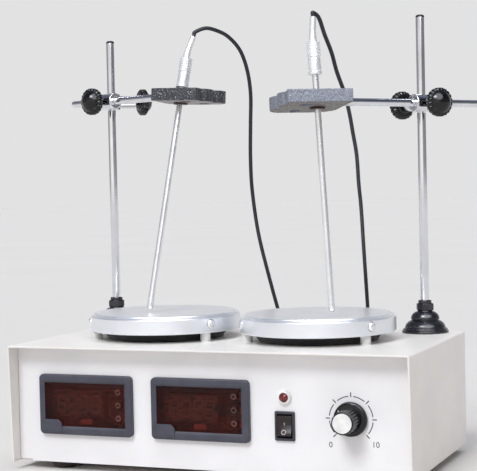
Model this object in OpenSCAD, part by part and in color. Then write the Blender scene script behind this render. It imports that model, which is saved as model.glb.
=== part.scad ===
// Heated magnetic stirrer with two plates, two clamp stands and two temperature probes.
// Millimetres. The origin is the middle of the case's footprint on the bench.
// Z points up and the front panel faces -Y.

/* [Case] */
// Width of the case
case_w = 320; // [316:1:332]
// Depth of the case
case_d = 170; // [168:1:180]
// Height of the case top above the bench
case_top = 97; // [96:0.5:104]
// Height of the case's lower edge above the bench
case_base = 6; // [4:0.5:7]
// Thickness of the sheet metal
sheet_t = 1.5; // [1:0.1:2]
// Distance that the front panel sits behind the lip of the cover
panel_recess = 14; // [10:0.5:16]
// Distance that the cover's side walls slant back toward the bottom
side_slant = 4; // [0:0.5:6]
// Diameter of a rubber foot at its top
foot_dia = 24; // [18:1:25]

/* [Meters] */
// Width of a meter bezel
meter_w = 79; // [76:0.5:82]
// Height of a meter bezel
meter_h = 46.5; // [44:0.5:50]
// Distance that a bezel stands proud of the panel
meter_proud = 4; // [3:0.5:6]
// Width of the meter window
window_w = 68.5; // [64:0.5:70]
// Height of the meter window
window_h = 33.8; // [30:0.2:35]
// Depth of the meter housing behind the panel
meter_depth = 44; // [30:1:45]
// Centre of the left meter along X
meter_left_x = -98.8; // [-102:0.1:-97]
// Centre of the right meter along X
meter_right_x = -3.7; // [-6:0.1:0]

/* [Controls] */
// Diameter of the speed knob's skirt
knob_skirt_dia = 25.4; // [22:0.1:28]
// Height of the speed knob
knob_h = 22; // [18:0.5:26]
// Centre of the speed knob along X
knob_x = 112.8; // [108:0.1:118]
// Centre of the rocker switch along X
switch_x = 62.7; // [58:0.1:66]
// Tilt of the rocker at rest, in degrees
rocker_tilt = 10; // [6:1:12]
// Diameter of the pilot lamp's bezel
pilot_dia = 10.6; // [9:0.1:13]

/* [Plates] */
// Diameter of a heating plate
plate_dia = 120; // [112:1:124]
// Thickness of a heating plate
plate_t = 13.7; // [10:0.1:16]
// Distance of each plate's axis from the middle of the case
plate_x = 64.5; // [63.5:0.1:67]
// Plate axis along Y
plate_y = 3; // [0:0.5:5]
// Air gap between a plate and the case top
plate_gap = 6.8; // [5:0.1:10]

/* [Stands] */
// Diameter of a support rod
rod_dia = 7; // [6:0.1:8]
// Top of the left rod above the bench
rod_top_left = 343.2; // [335:0.2:360]
// Top of the right rod above the bench
rod_top_right = 348.5; // [335:0.2:360]
// Height of the left boss head
boss_z_left = 290.6; // [270:0.2:300]
// Height of the right boss head
boss_z_right = 278.3; // [260:0.2:290]
// Diameter of a cross rod
cross_dia = 6; // [5:0.1:6.5]
// Diameter of a clamp knob
clamp_knob_dia = 22.6; // [20:0.2:26]

/* [Probes] */
// Diameter of a probe tube
probe_dia = 5; // [4:0.1:5.5]
// Thickness of the cast probe holder
holder_t = 10; // [8:0.5:12]
// Diameter of the holes in the probe holder
holder_hole_dia = 9; // [8.6:0.1:10]
// Diameter of the probe cable
cable_dia = 3.2; // [2.6:0.1:3.6]

/* [Hidden] */

$fn = 48;
eps = 0.01;
gap = 0.3;
pin_fit = 0.05;

// Case
front_y = -case_d / 2;
back_y = case_d / 2;
panel_y = front_y + panel_recess;
cover_r = 2;
flange_w = 10;
inner_x = case_w / 2 - sheet_t;
top_under = case_top - sheet_t;
floor_z = case_base + sheet_t;
floor_top = floor_z + sheet_t;
foot_x = case_w / 2 - 33.5;
foot_front_y = panel_y + 14;
foot_back_y = back_y - 23;
foot_taper = 3;
wire_hole_dia = 12;
wire_hole_off = 22;
screw_dia = 4;
screw_head_dia = 7;
cover_screw_x = case_w / 2 - 6.5;
cover_screw_ys = [front_y + 30, 8, back_y - 17];
vent_w = 26;
vent_h = 3;
vent_pitch = 7.2;
vent_x = case_w / 2 - 32;
fold_w = 12;

// Meters
meter_z = (case_base + case_top) / 2 - 0.1;
meter_corner = 3.5;
meter_wall = 2;
meter_body_w = meter_w - 4;
meter_body_h = meter_h - 4.5;
meter_terminals = [48, 5, 9];
terminal_pitch = 9;
meter_front = panel_y - meter_proud;
meter_back = panel_y + sheet_t + meter_depth;
window_t = 2;
window_sunk = 0.8;
window_shift = -0.8;
tab_w = 16.4;
tab_h = 9.9;
tab_drop = 4.6;
trimmer_dia = 4.6;
trimmer_off = 25.4;
trimmer_pitch = 10;
board_t = 1.6;

// Rocker switch and pilot lamp
switch_z = meter_z - 9.6;
switch_frame_w = 15.3;
switch_frame_h = 21.6;
switch_open_w = 11.6;
switch_open_h = 17.4;
switch_proud = 2;
switch_depth = 20;
rocker_w = 11.2;
rocker_r = 8.5;
rocker_pivot_y = panel_y + sheet_t;
rocker_mid = 3.6;
rocker_end = 5;
rocker_pin = 2.4;
pilot_z = meter_z + 11.4;
pilot_lens_dia = 7;
pilot_proud = 3;

// Speed knob, with its pointer at 143.5 degrees as seen from the front
knob_z = meter_z - 2.5;
skirt_t = 3.5;
panel_clear = 1;
barrel_base_dia = 18;
barrel_top_dia = 16.2;
cap_dia = 14.2;
cap_t = 1.6;
pointer_angle = 143.5;
pot_shaft_dia = 6;
pot_dia = 16;
pot_depth = 9;
bushing_dia = 7;
knob_flutes = 24;

// Plates
plate_base = case_top + plate_gap;
plate_top = plate_base + plate_t;
plate_step = 1;
plate_step_in = 3;
side_screw_angles = [-30, 90, 210];
wide_spacer_angles = [-32, 88, 208];
wide_spacer_r = 55;
narrow_post_angles = [-75, -105];
narrow_post_r = 40;
wide_spacer_dia = 8;
narrow_post_dia = 3.5;
shield_r = 45;

// Motors and magnets
motor_dia = 36;
motor_base = 25;
motor_h = 50;
motor_shaft_dia = 5;
bracket_w = 48;
bracket_d = 40;
bracket_t = 2;
bracket_foot = 10;
rotor_z = 85;
rotor_len = 60;
rotor_w = 14;
rotor_t = 6;
magnet_dia = 12;
magnet_off = 22;
magnet_h = 6;
magnet_sunk = 3.5;

// Board, transformer and rear panel
pcb_w = 50;
pcb_d = 70;
pcb_y = 35;
pcb_z = 17;
transformer_x = case_w / 2 - 34;
transformer_y = 20;
transformer_core = [48, 18, 40];
transformer_coil = [30, 38, 26];
transformer_base_d = 34;
rear_row_z = 40;
inlet_x = -(case_w / 2 - 48);
inlet_flange = [50, 24];
inlet_flange_t = 2.5;
inlet_body = [27, 22, 20];
inlet_recess = [24, 18, 16];
fuse_x = inlet_x + 46;
fuse_cap_h = 9;
sensor_xs = [0, case_w / 2 - 90];
sensor_z = 58;
thread_dia = 12;
socket_bore = 8;
plug_dia = 14;
plug_len = 14;
relief_len = 8.3;
socket_flange_t = 2;

// Support rods, boss heads, cross rods and holders
rod_left = [-(case_w / 2 - 19), back_y - 16];
rod_right = [case_w / 2 - 28, back_y - 16];
rod_seat = 4;
bell_r = 18.5;
bell_ring_h = 1.6;
bell_dome_r = 7.7;
neck_r = 9.4;
neck_dome_r = 6;
nut_w = 14;
nut_h = 5.5;
nut_z = 17.6;
rod_cap_h = 2;
cross_off = 9.5;
turn_left = -24;
turn_right = -124;
boss_r = 6.75;
boss_in = 9;
boss_out = 17;
lug_r = 7.5;
arm_knob_turn = 8;
arm_knob_dist = 15.5;
rod_knob_turn_left = 22;
rod_knob_turn_right = -4;
rod_knob_dist_left = 30;
rod_knob_dist_right = 27;
clamp_knob_len = 12.5;
stud_dia = 5;
stud_tip_dia = 2.4;
stud_cone = 1.5;
stud_gap = 0.3;
knob_rim_h = 7.6;
knob_dome_r = 10.7;
cross_tail_left = 40;
cross_tail_right = 75;
cross_embed = 15;
knob_lobes = 20;

// Holder outline: U runs along the straight front edge from the rod's end, V goes back
hold_x_left = 70.8;
hold_x_right = 82;
hold_turn_left = 20;
hold_turn_right = 27;
hold_tilt_left = 2.5;
hold_tilt_right = 7.5;
hold_dip_left = 2;
hold_dip_right = 0;
hold_v = 29;
corner_left = 10;
corner_right = 1.5;
front_end = 50.5;
hole_probe = [24.3, 24];
holes_spare = [[35, 12.5], [39.2, 37]];

// Probes and plugs
tip_left = [-plate_x - 6.5, plate_y - 16, plate_top + 2.5];
tip_right = [plate_x + 21.5, plate_y - 31, plate_top + 4];
stem_left = 7.4;
stem_right = 20;
bush_flange_dia = 11.5;
bush_flange_t = 1.5;
bush_slack = 0.02;
plug_collar_dia = 9.8;
plug_collar_h = 2.4;
plug_body_dia = 10;
plug_body_h = 10;
plug_rib_dia = 10.6;
plug_ribs = 6;
plug_rib_pitch = 2;
tail_root_dia = 6;
tail_end_dia = 4.6;
tail_straight = 5;
tail_bent = 14.5;
tail_bend_left = 12;
tail_bend_right = 5;
tail_side = 22;

// Vectors and turns
function unit(v) = v / norm(v);
function turn_x(p, a) = [p.x, p.y * cos(a) - p.z * sin(a), p.y * sin(a) + p.z * cos(a)];
function turn_y(p, a) = [p.x * cos(a) + p.z * sin(a), p.y, -p.x * sin(a) + p.z * cos(a)];
function turn_z(p, a) = [p.x * cos(a) - p.y * sin(a), p.x * sin(a) + p.y * cos(a), p.z];

// A point of the holder in its arm's frame, and an arm's point in the object's frame
function hold_point(p, x, turn, dip, tilt) =
    turn_z(turn_y(turn_x(p - [0, hold_v, 0], -tilt), dip), turn) + [x, -cross_off, 0];
function arm_point(p, rod, z, turn, side) =
    turn_z([p.x, side * p.y, p.z], turn) + [rod.x, rod.y, z];

// The probes run from their tips through the middle of their holes
hole_left = arm_point(
    hold_point([hole_probe.x, hole_probe.y, 0], hold_x_left, hold_turn_left, hold_dip_left, hold_tilt_left),
    rod_left, boss_z_left, turn_left, 1);
hole_right = arm_point(
    hold_point([hole_probe.x, hole_probe.y, 0], hold_x_right, hold_turn_right, hold_dip_right, hold_tilt_right),
    rod_right, boss_z_right, turn_right, -1);
dir_left = unit(hole_left - tip_left);
dir_right = unit(hole_right - tip_right);
plug_base_left = hole_left + dir_left * stem_left;
plug_base_right = hole_right + dir_right * stem_right;
plug_h = plug_collar_h + plug_body_h + plug_ribs * plug_rib_pitch;
function sideways(d, a) = unit([cos(a), sin(a), 0] - d * (d * [cos(a), sin(a), 0]));
function bent(d, side, a) = cos(a) * d + sin(a) * sideways(d, side);
tail_dir_left = bent(dir_left, tail_side, tail_bend_left);
tail_dir_right = bent(dir_right, tail_side, tail_bend_right);
tail_end_left = plug_base_left + dir_left * (plug_h + tail_straight) + tail_dir_left * tail_bent;
tail_end_right = plug_base_right + dir_right * (plug_h + tail_straight) + tail_dir_right * tail_bent;
plug_tail_y = back_y + socket_flange_t + plug_len + relief_len;

// Routes of the two cables, from the probe plug to the plug on the rear panel
function plug_lead(x) = [for (d = [4, 2, 0]) [x, plug_tail_y + d, sensor_z]];
route_left = concat(
    [tail_end_left, tail_end_left + 2 * tail_dir_left, tail_end_left + 4 * tail_dir_left],
    [
        [-42, 44, 346], [-36, 50, 345], [-28, 59, 340], [-21, 68, 329],
        [-18, 76, 313], [-18, 83, 293], [-21, 89, 268], [-24, 95, 240],
        [-25, 100, 212], [-23, 107, 176], [-18, 114, 143], [-11, plug_tail_y + 10.7, 108],
        [-4, plug_tail_y + 13.7, 80], [0, plug_tail_y + 9.7, 62],
    ],
    plug_lead(sensor_xs[0]));
route_right = concat(
    [tail_end_right, tail_end_right + 1.5 * tail_dir_right, tail_end_right + 3 * tail_dir_right],
    [
        [75, -12, 342], [77, -5, 330], [79, 5, 317], [80, 14, 303],
        [82, 25, 288], [82, 38, 272], [81, 50, 256], [80, 62, 239],
        [77, 76, 216], [75, 88, 196], [73, 99, 167], [72, 107, 138],
        [71, 115, 108], [70, plug_tail_y + 11.7, 82], [70, plug_tail_y + 9.7, 63],
    ],
    plug_lead(sensor_xs[1]));
cable_sides = 8;
steps_per_span = 2;

// Smooth curve through a route's points, with a few steps in each span
function spline_point(a, b, c, d, t) =
    0.5 * (2 * b + (c - a) * t + (2 * a - 5 * b + 4 * c - d) * t * t + (3 * b - a - 3 * c + d) * t * t * t);
function route_at(r, k, t) =
    spline_point(r[max(k - 1, 0)], r[k], r[k + 1], r[min(k + 2, len(r) - 1)], t);
function smooth(r) = concat(
    [for (k = [0 : len(r) - 2]) for (s = [0 : steps_per_span - 1]) route_at(r, k, s / steps_per_span)],
    [r[len(r) - 1]]);
function heading(p, i) = unit(p[min(i + 1, len(p) - 1)] - p[max(i - 1, 0)]);
function ring(p, i, r) =
    let (t = heading(p, i), a = unit(cross([1, 0, 0], t)), b = cross(t, a))
    [for (k = [0 : cable_sides - 1])
        p[i] + r * (cos(360 * k / cable_sides) * a + sin(360 * k / cable_sides) * b)];

// One stretch of cable between two steps of a smoothed route
module stretch(p, first, last) {
    count = last - first + 1;
    n = cable_sides;
    points = [for (i = [first : last]) each ring(p, i, cable_dia / 2)];
    sides = [for (i = [0 : count - 2]) for (k = [0 : n - 1]) each [
        [i * n + k, i * n + (k + 1) % n, (i + 1) * n + (k + 1) % n],
        [i * n + k, (i + 1) * n + (k + 1) % n, (i + 1) * n + k]]];
    start = [[for (k = [n - 1 : -1 : 0]) k]];
    end = [[for (k = [0 : n - 1]) (count - 1) * n + k]];
    color([0.07, 0.08, 0.13]) polyhedron(points, concat(start, sides, end), convexity = 4);
}

// A stretch is a quarter of the whole route
module cable(route, quarter) {
    p = smooth(route);
    spans = len(p) - 1;
    stretch(p, round(spans * (quarter - 1) / 4), round(spans * quarter / 4));
}

// Placing helpers
module along(p, d) {
    translate(p) rotate([0, acos(d.z), atan2(d.y, d.x)]) children();
}

module pair() {
    for (s = [-1, 1]) translate([s * plate_x, plate_y, 0]) children();
}

module face_front(x, y, z) {
    translate([x, y, z]) rotate([90, 0, 0]) children();
}

module face_back(x, y, z) {
    translate([x, y, z]) rotate([-90, 0, 0]) children();
}

module arm_frame(side) {
    rod = side < 0 ? rod_left : rod_right;
    translate([rod.x, rod.y, side < 0 ? boss_z_left : boss_z_right])
        rotate(side < 0 ? turn_left : turn_right)
            mirror([0, side < 0 ? 0 : 1, 0]) children();
}

module holder_frame(side) {
    arm_frame(side)
        translate([side < 0 ? hold_x_left : hold_x_right, -cross_off, 0])
            rotate(side < 0 ? hold_turn_left : hold_turn_right)
                rotate([0, side < 0 ? hold_dip_left : hold_dip_right, 0])
                    rotate([side < 0 ? -hold_tilt_left : -hold_tilt_right, 0, 0])
                        translate([0, -hold_v, 0]) children();
}

module rounded_plate(w, h, r, t) {
    linear_extrude(t) rounded_rect(w, h, r);
}

module rounded_rect(w, h, r) {
    square([w - 2 * r, h], center = true);
    square([w, h - 2 * r], center = true);
    for (x = [-1, 1], y = [-1, 1]) translate([x * (w / 2 - r), y * (h / 2 - r)]) circle(r);
}

// Case
module cover_section(inset) {
    w = case_w / 2 - inset;
    r = cover_r - inset;
    top = case_top - inset;
    union() {
        translate([-w, case_base]) square([2 * w, top - case_base - r]);
        translate([-w + r, case_base]) square([2 * (w - r), top - case_base]);
        for (s = [-1, 1]) translate([s * (w - r), top - r]) circle(r);
    }
}

module case_cover() {
    color([0.93, 0.92, 0.86]) difference() {
        union() {
            difference() {
                face_front(0, back_y, 0) linear_extrude(case_d) cover_section(0);
                face_front(0, back_y + 1, 0) linear_extrude(case_d + 2)
                    translate([-inner_x, case_base - 1]) square([2 * inner_x, top_under - case_base + 1]);
            }
            for (s = [-1, 1])
                translate([s * (inner_x - flange_w / 2), 0, case_base + sheet_t / 2])
                    cube([flange_w + 2 * eps, case_d, sheet_t], center = true);
        }
        translate([0, front_y, case_top])
            rotate([atan(side_slant / (case_top - case_base)), 0, 0])
                translate([-case_w, -20, -2 * case_top]) cube([2 * case_w, 20, 2 * case_top]);
        for (s = [-1, 1])
            translate([s * (inner_x - flange_w), front_y - 1, case_base - 1])
                mirror([s < 0 ? 1 : 0, 0, 0])
                    cube([flange_w + sheet_t / 2, panel_recess + 4, sheet_t + 1 + eps]);
        for (s = [-1, 1], y = cover_screw_ys)
            translate([s * cover_screw_x, y, case_base - 1])
                cylinder(d = screw_dia + 2 * pin_fit, h = sheet_t + 2);
        pair() translate([0, wire_hole_off, top_under - 1]) cylinder(d = wire_hole_dia, h = sheet_t + 2);
        for (p = [rod_left, rod_right]) translate([p.x, p.y, top_under - 1])
            cylinder(d = rod_dia + 0.4, h = sheet_t + 2);
    }
}

module rear_cuts() {
    hole = thread_dia + 0.4;
    face_back(inlet_x, back_y - 3, rear_row_z) linear_extrude(5)
        square([inlet_body.x + 1, inlet_body.z + 1], center = true);
    face_back(fuse_x, back_y - 3, rear_row_z) cylinder(d = hole, h = 5);
    for (x = sensor_xs) face_back(x, back_y - 3, sensor_z) cylinder(d = hole, h = 5);
    for (s = [-1, 1], z = [16 : vent_pitch : 34])
        translate([s * vent_x - (s < 0 ? 6 : 0), back_y, z]) cube([vent_w, 6, vent_h], center = true);
}

module front_cuts() {
    for (x = [meter_left_x, meter_right_x])
        face_front(x, panel_y + sheet_t + 1, meter_z) linear_extrude(sheet_t + 2)
            square([meter_body_w + gap, meter_body_h + gap], center = true);
    face_front(switch_x, panel_y + sheet_t + 1, switch_z) linear_extrude(sheet_t + 2)
        square([switch_frame_w - 1.8, switch_frame_h - 1.8], center = true);
    face_front(switch_x, panel_y + sheet_t + 1, pilot_z)
        cylinder(d = pilot_dia - 2.4, h = sheet_t + 2);
    face_front(knob_x, panel_y + sheet_t + 1, knob_z)
        cylinder(d = bushing_dia + 2 * pin_fit, h = sheet_t + 2);
}

module chassis() {
    w = 2 * inner_x - 2 * gap;
    top = top_under - gap;
    color([0.9, 0.89, 0.84]) difference() {
        union() {
            translate([-w / 2, panel_y, case_base]) cube([w, sheet_t, top - case_base]);
            translate([-w / 2, panel_y, floor_z]) cube([w, back_y - panel_y, sheet_t]);
            translate([-w / 2, back_y - sheet_t, floor_z]) cube([w, sheet_t, top - floor_z]);
            translate([-w / 2, panel_y, top - sheet_t]) cube([w, fold_w, sheet_t]);
            translate([-w / 2, back_y - fold_w, top - sheet_t]) cube([w, fold_w, sheet_t]);
        }
        front_cuts();
        rear_cuts();
        for (s = [-1, 1], y = cover_screw_ys)
            translate([s * cover_screw_x, y, floor_z - 1])
                cylinder(d = screw_dia + 2 * pin_fit, h = sheet_t + 2);
        for (x = [-foot_x, foot_x], y = [foot_front_y, foot_back_y])
            translate([x, y, floor_z - 1]) cylinder(d = screw_dia + 2 * pin_fit, h = sheet_t + 2);
        for (p = [rod_left, rod_right]) translate([p.x, p.y, top - sheet_t - 1])
            cylinder(d = 16, h = sheet_t + 2);
        for (s = [-1, 1]) translate([s * (w / 2 - flange_w / 2), panel_y, case_base])
            cube([flange_w + 1, 2 * sheet_t + 2, 2 * sheet_t - eps], center = true);
    }
}

module rubber_feet() {
    head = screw_head_dia + 2;
    color([0.16, 0.1, 0.11])
        for (x = [-foot_x, foot_x], y = [foot_front_y, foot_back_y]) translate([x, y, 0])
            rotate_extrude() polygon([
                [head / 2, 0], [foot_dia / 2 - foot_taper - 1, 0], [foot_dia / 2 - foot_taper, 1],
                [foot_dia / 2, floor_z - 1.2], [foot_dia / 2, floor_z],
                [screw_dia / 2 + pin_fit, floor_z], [screw_dia / 2 + pin_fit, 4], [head / 2, 4]]);
}

module pan_screw(head, shank, length) {
    translate([0, 0, -1]) cylinder(d = shank, h = length + 1);
    translate([0, 0, -2]) cylinder(d1 = head - 1.6, d2 = head, h = 1);
    translate([0, 0, -1]) cylinder(d = head, h = 1);
}

module case_screws() {
    color([0.75, 0.75, 0.74]) {
        for (s = [-1, 1], y = cover_screw_ys)
            translate([s * cover_screw_x, y, case_base]) pan_screw(screw_head_dia, screw_dia, 8);
        for (x = [-foot_x, foot_x], y = [foot_front_y, foot_back_y]) {
            translate([x, y, 4]) pan_screw(screw_head_dia, screw_dia, 10);
            translate([x, y, floor_top]) difference() {
                cylinder(d = 8, h = 3, $fn = 6);
                translate([0, 0, -1]) cylinder(d = screw_dia - 0.5, h = 5);
            }
        }
    }
}

// Panel meters
module meter_case(x) {
    color([0.3, 0.32, 0.36]) difference() {
        union() {
            face_front(x, panel_y, meter_z)
                rounded_plate(meter_w, meter_h, meter_corner, meter_proud - 1);
            face_front(x, panel_y - meter_proud + 1 + eps, meter_z)
                rounded_plate(meter_w - 1.4, meter_h - 1.4, meter_corner - 0.7, 1 + eps);
            translate([x - meter_body_w / 2, panel_y - eps, meter_z - meter_body_h / 2])
                cube([meter_body_w, meter_back - panel_y, meter_body_h]);
            translate([x - meter_terminals.x / 2, meter_back - eps, meter_z - 14]) cube(meter_terminals);
        }
        translate([x + window_shift, 0, meter_z + 0.1])
            translate([-window_w / 2, meter_front - 1, -window_h / 2])
                cube([window_w, meter_proud + 1 + eps, window_h]);
        translate([x - meter_body_w / 2 + meter_wall, panel_y - meter_proud + window_sunk + window_t,
                meter_z - meter_body_h / 2 + meter_wall])
            cube([meter_body_w - 2 * meter_wall, meter_back - meter_wall - panel_y + 1.2,
                meter_body_h - 2 * meter_wall]);
        for (i = [-2 : 2])
            translate([x + terminal_pitch * i, meter_back + meter_terminals.y, meter_z - 9.5])
                rotate([90, 0, 0]) cylinder(d = 5, h = 2);
    }
    color([0.3, 0.32, 0.36])
        translate([x + window_shift - window_w / 2 - 1.4, meter_front, meter_z - window_h / 2 - tab_drop])
            difference() {
                translate([0, -0.6, 0]) cube([tab_w, 1.3, tab_h]);
                translate([tab_w, 0, tab_h]) rotate([0, 45, 0]) cube([5, 4, 5], center = true);
            }
}

module meter_windows() {
    color([0.28, 0.1, 0.08, 0.8])
        for (x = [meter_left_x, meter_right_x]) difference() {
            translate([x + window_shift, meter_front + window_sunk + window_t / 2, meter_z + 0.1])
                cube([window_w - 2 * pin_fit, window_t, window_h - 2 * pin_fit], center = true);
            for (i = [-1 : 1])
                face_front(x + trimmer_off, meter_front + window_sunk + 1, meter_z + trimmer_pitch * i)
                    cylinder(d = 2.4, h = 2);
        }
}

module meter_boards() {
    y = meter_front + window_sunk + window_t;
    for (x = [meter_left_x, meter_right_x]) {
        color([0.12, 0.3, 0.18])
            translate([x, y + 12, meter_z])
                cube([meter_body_w - 2 * meter_wall - gap, board_t, meter_body_h - 2 * meter_wall - gap],
                    center = true);
        color([0.1, 0.1, 0.11])
            translate([x - 8, y + 7, meter_z]) cube([42, 8.6, 20], center = true);
        for (i = [-1 : 1]) face_front(x + trimmer_off, y + 11.4, meter_z + trimmer_pitch * i)
            color([0.75, 0.62, 0.3]) difference() {
                cylinder(d = trimmer_dia, h = 8);
                translate([-trimmer_dia, -0.4, 7.2]) cube([2 * trimmer_dia, 0.8, 1]);
            }
        for (s = [-1, 1]) color([0.2, 0.2, 0.2])
            translate([x + s * 20, y + 18, meter_z]) cube([12, 12, 16], center = true);
    }
}

// Pilot lamp and rocker switch
module pilot_bezel() {
    color([0.94, 0.92, 0.9]) face_front(switch_x, panel_y, pilot_z) difference() {
        union() {
            rotate_extrude() polygon([
                [0, 0], [pilot_dia / 2, 0], [pilot_dia / 2, pilot_proud - 1.2],
                [pilot_dia / 2 - 1, pilot_proud], [0, pilot_proud]]);
            translate([0, 0, -16]) cylinder(d = pilot_dia - 2.6, h = 16 + eps);
        }
        translate([0, 0, -14]) cylinder(d = pilot_lens_dia, h = 20);
    }
}

module pilot_lens() {
    r = pilot_lens_dia / 2 - pin_fit;
    color([0.75, 0.1, 0.12]) face_front(switch_x, panel_y, pilot_z) {
        translate([0, 0, -13.9]) cylinder(r = r, h = 13.9 + pilot_proud - 0.4);
        translate([0, 0, pilot_proud - 0.4 - eps]) intersection() {
            cylinder(r = r, h = 3);
            translate([0, 0, -3]) sphere(r = 5);
        }
    }
}

module switch_frame() {
    color([0.2, 0.21, 0.24]) difference() {
        union() {
            face_front(switch_x, panel_y, switch_z) {
                rounded_plate(switch_frame_w, switch_frame_h, 1, switch_proud - 0.6);
                rounded_plate(switch_frame_w - 1, switch_frame_h - 1, 0.8, switch_proud);
            }
            translate([switch_x, panel_y + switch_depth / 2 - eps, switch_z])
                cube([switch_frame_w - 2, switch_depth, switch_frame_h - 2], center = true);
        }
        translate([switch_x, panel_y + 4.5, switch_z])
            cube([switch_open_w, 17, switch_open_h], center = true);
        translate([switch_x, rocker_pivot_y, switch_z]) rotate([0, 90, 0])
            cylinder(d = rocker_pin + 2 * pin_fit, h = 13, center = true);
    }
    color([0.78, 0.75, 0.68]) for (i = [-1 : 1])
        translate([switch_x, panel_y + switch_depth + 3, switch_z + 6 * i])
            cube([6.3, 7, 0.8], center = true);
}

// The rocker is a drum about its pivot with a face of two flats, tipped top out at rest
module switch_rocker() {
    color([0.14, 0.1, 0.09]) translate([switch_x, rocker_pivot_y, switch_z]) rotate([-rocker_tilt, 0, 0]) {
        intersection() {
            rotate([0, 90, 0]) cylinder(r = rocker_r, h = rocker_w, center = true);
            rotate([0, -90, 0]) translate([0, 0, -rocker_w / 2]) linear_extrude(rocker_w)
                polygon([
                    [-rocker_r, 4], [-rocker_r, -rocker_end], [0, -rocker_mid],
                    [rocker_r, -rocker_end], [rocker_r, 4]]);
        }
        rotate([0, 90, 0]) cylinder(d = rocker_pin, h = 12.8, center = true);
    }
}

// Speed control
module speed_knob() {
    body_h = knob_h - panel_clear;
    color([0.05, 0.05, 0.06])
        face_front(knob_x, panel_y - panel_clear, knob_z) difference() {
            rotate_extrude() polygon([
                [0, 0], [knob_skirt_dia / 2 - 0.4, 0], [knob_skirt_dia / 2, 0.6],
                [knob_skirt_dia / 2 - 0.6, skirt_t - 0.6], [knob_skirt_dia / 2 - 2, skirt_t],
                [barrel_base_dia / 2, skirt_t + 0.2], [barrel_top_dia / 2, body_h - 0.8],
                [barrel_top_dia / 2 - 0.8, body_h], [0, body_h]]);
            for (i = [0 : knob_flutes - 1])
                rotate(360 / knob_flutes * i)
                    translate([(barrel_base_dia + barrel_top_dia) / 4 + 0.45, 0, skirt_t + 1])
                        rotate([0, -2.6, 0]) cylinder(d = 1.5, h = body_h);
            translate([0, 0, -1]) cylinder(d = pot_shaft_dia + 2 * pin_fit, h = body_h - 4);
            translate([0, 0, body_h - cap_t + 0.4]) cylinder(d = cap_dia + 2 * pin_fit, h = 4);
            rotate(pointer_angle) translate([barrel_top_dia / 2 - 1.4, -0.6, body_h - 4]) cube([3, 1.2, 6]);
        }
}

module knob_cap() {
    base = knob_h - cap_t + 0.4;
    color([0.93, 0.93, 0.92]) face_front(knob_x, panel_y, knob_z) translate([0, 0, base])
        rotate_extrude() polygon([
            [0, 0], [cap_dia / 2, 0], [cap_dia / 2, cap_t - 0.4], [cap_dia / 2 - 0.5, cap_t], [0, cap_t]]);
}

module speed_shaft() {
    color([0.8, 0.8, 0.78]) face_front(knob_x, panel_y, knob_z)
        translate([0, 0, -sheet_t - 6]) difference() {
            cylinder(d = pot_shaft_dia, h = sheet_t + 6 + knob_h - 7);
            translate([-1, -5, sheet_t + 18]) cube([2, 10, 20]);
        }
}

module speed_pot() {
    color([0.6, 0.6, 0.58]) face_front(knob_x, panel_y + sheet_t, knob_z) difference() {
        union() {
            translate([0, 0, -pot_depth]) cylinder(d = pot_dia, h = pot_depth);
            cylinder(d = bushing_dia, h = sheet_t + 0.9);
            translate([0, -10, -5]) cube([12, 8, 1.6], center = true);
            for (i = [-1 : 1]) translate([5 * i, -16, -5]) cube([1.2, 6, 0.8], center = true);
        }
        translate([0, 0, -6.2]) cylinder(d = pot_shaft_dia + 2 * pin_fit, h = 12);
    }
}

// Heating plates
module heater_plate(side) {
    r = plate_dia / 2;
    color([0.8, 0.82, 0.86]) translate([side * plate_x, plate_y, plate_base]) difference() {
        rotate_extrude() polygon([
            [0, 0], [r - 0.8, 0], [r, 0.8], [r, plate_t - plate_step - 1.4],
            [r - 1.4, plate_t - plate_step], [r - plate_step_in, plate_t - plate_step],
            [r - plate_step_in - 0.6, plate_t], [0, plate_t]]);
        for (a = side_screw_angles) rotate(a)
            translate([r - 9, 0, plate_t / 2]) rotate([0, 90, 0])
                cylinder(d = screw_dia + 2 * pin_fit, h = 12);
        for (a = side_screw_angles) rotate(a)
            translate([r - 1.2, 0, plate_t / 2]) rotate([0, 90, 0])
                cylinder(d = screw_head_dia + 0.6, h = 4);
    }
}

module heat_shields() {
    color([0.06, 0.06, 0.07]) pair() translate([0, 0, case_top]) difference() {
        rotate_extrude() polygon([
            [0, 0], [shield_r - 1, 0], [shield_r, 1], [shield_r, plate_gap - 0.1],
            [shield_r - 1, plate_gap - 0.1], [shield_r - 1, 1.2], [0, 1.2]]);
        translate([0, wire_hole_off, -1]) cylinder(d = wire_hole_dia, h = 4);
        for (a = narrow_post_angles) rotate(a) translate([narrow_post_r, 0, -1])
            cylinder(d = narrow_post_dia + 2 * gap, h = 4);
    }
}

module plate_spacers() {
    rib = plate_gap / 5;
    color([0.9, 0.9, 0.88]) pair() translate([0, 0, case_top]) {
        for (a = wide_spacer_angles) rotate(a) translate([wide_spacer_r, 0, 0])
            rotate_extrude() polygon([
                [0, 0], for (i = [0 : 4]) each [
                    [wide_spacer_dia / 2, i * rib], [wide_spacer_dia / 2, (i + 0.6) * rib],
                    [wide_spacer_dia / 2 - 0.6, (i + 0.7) * rib],
                    [wide_spacer_dia / 2 - 0.6, (i + 0.95) * rib]],
                [0, plate_gap]]);
        for (a = narrow_post_angles) rotate(a) translate([narrow_post_r, 0, 0])
            cylinder(d = narrow_post_dia, h = plate_gap);
    }
}

module plate_screws() {
    r = plate_dia / 2;
    color([0.82, 0.82, 0.84]) pair() translate([0, 0, plate_base + plate_t / 2])
        for (a = side_screw_angles) rotate(a) translate([r - 1.2, 0, 0]) rotate([0, 90, 0]) difference() {
            union() {
                translate([0, 0, -7.5]) cylinder(d = screw_dia, h = 8);
                rotate_extrude() polygon([
                    [0, 0], [screw_head_dia / 2, 0], [screw_head_dia / 2, 1.6],
                    [screw_head_dia / 2 - 1, 2.6], [0, 2.9]]);
            }
            translate([-4, -0.5, 2]) cube([8, 1, 2]);
        }
}

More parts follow.
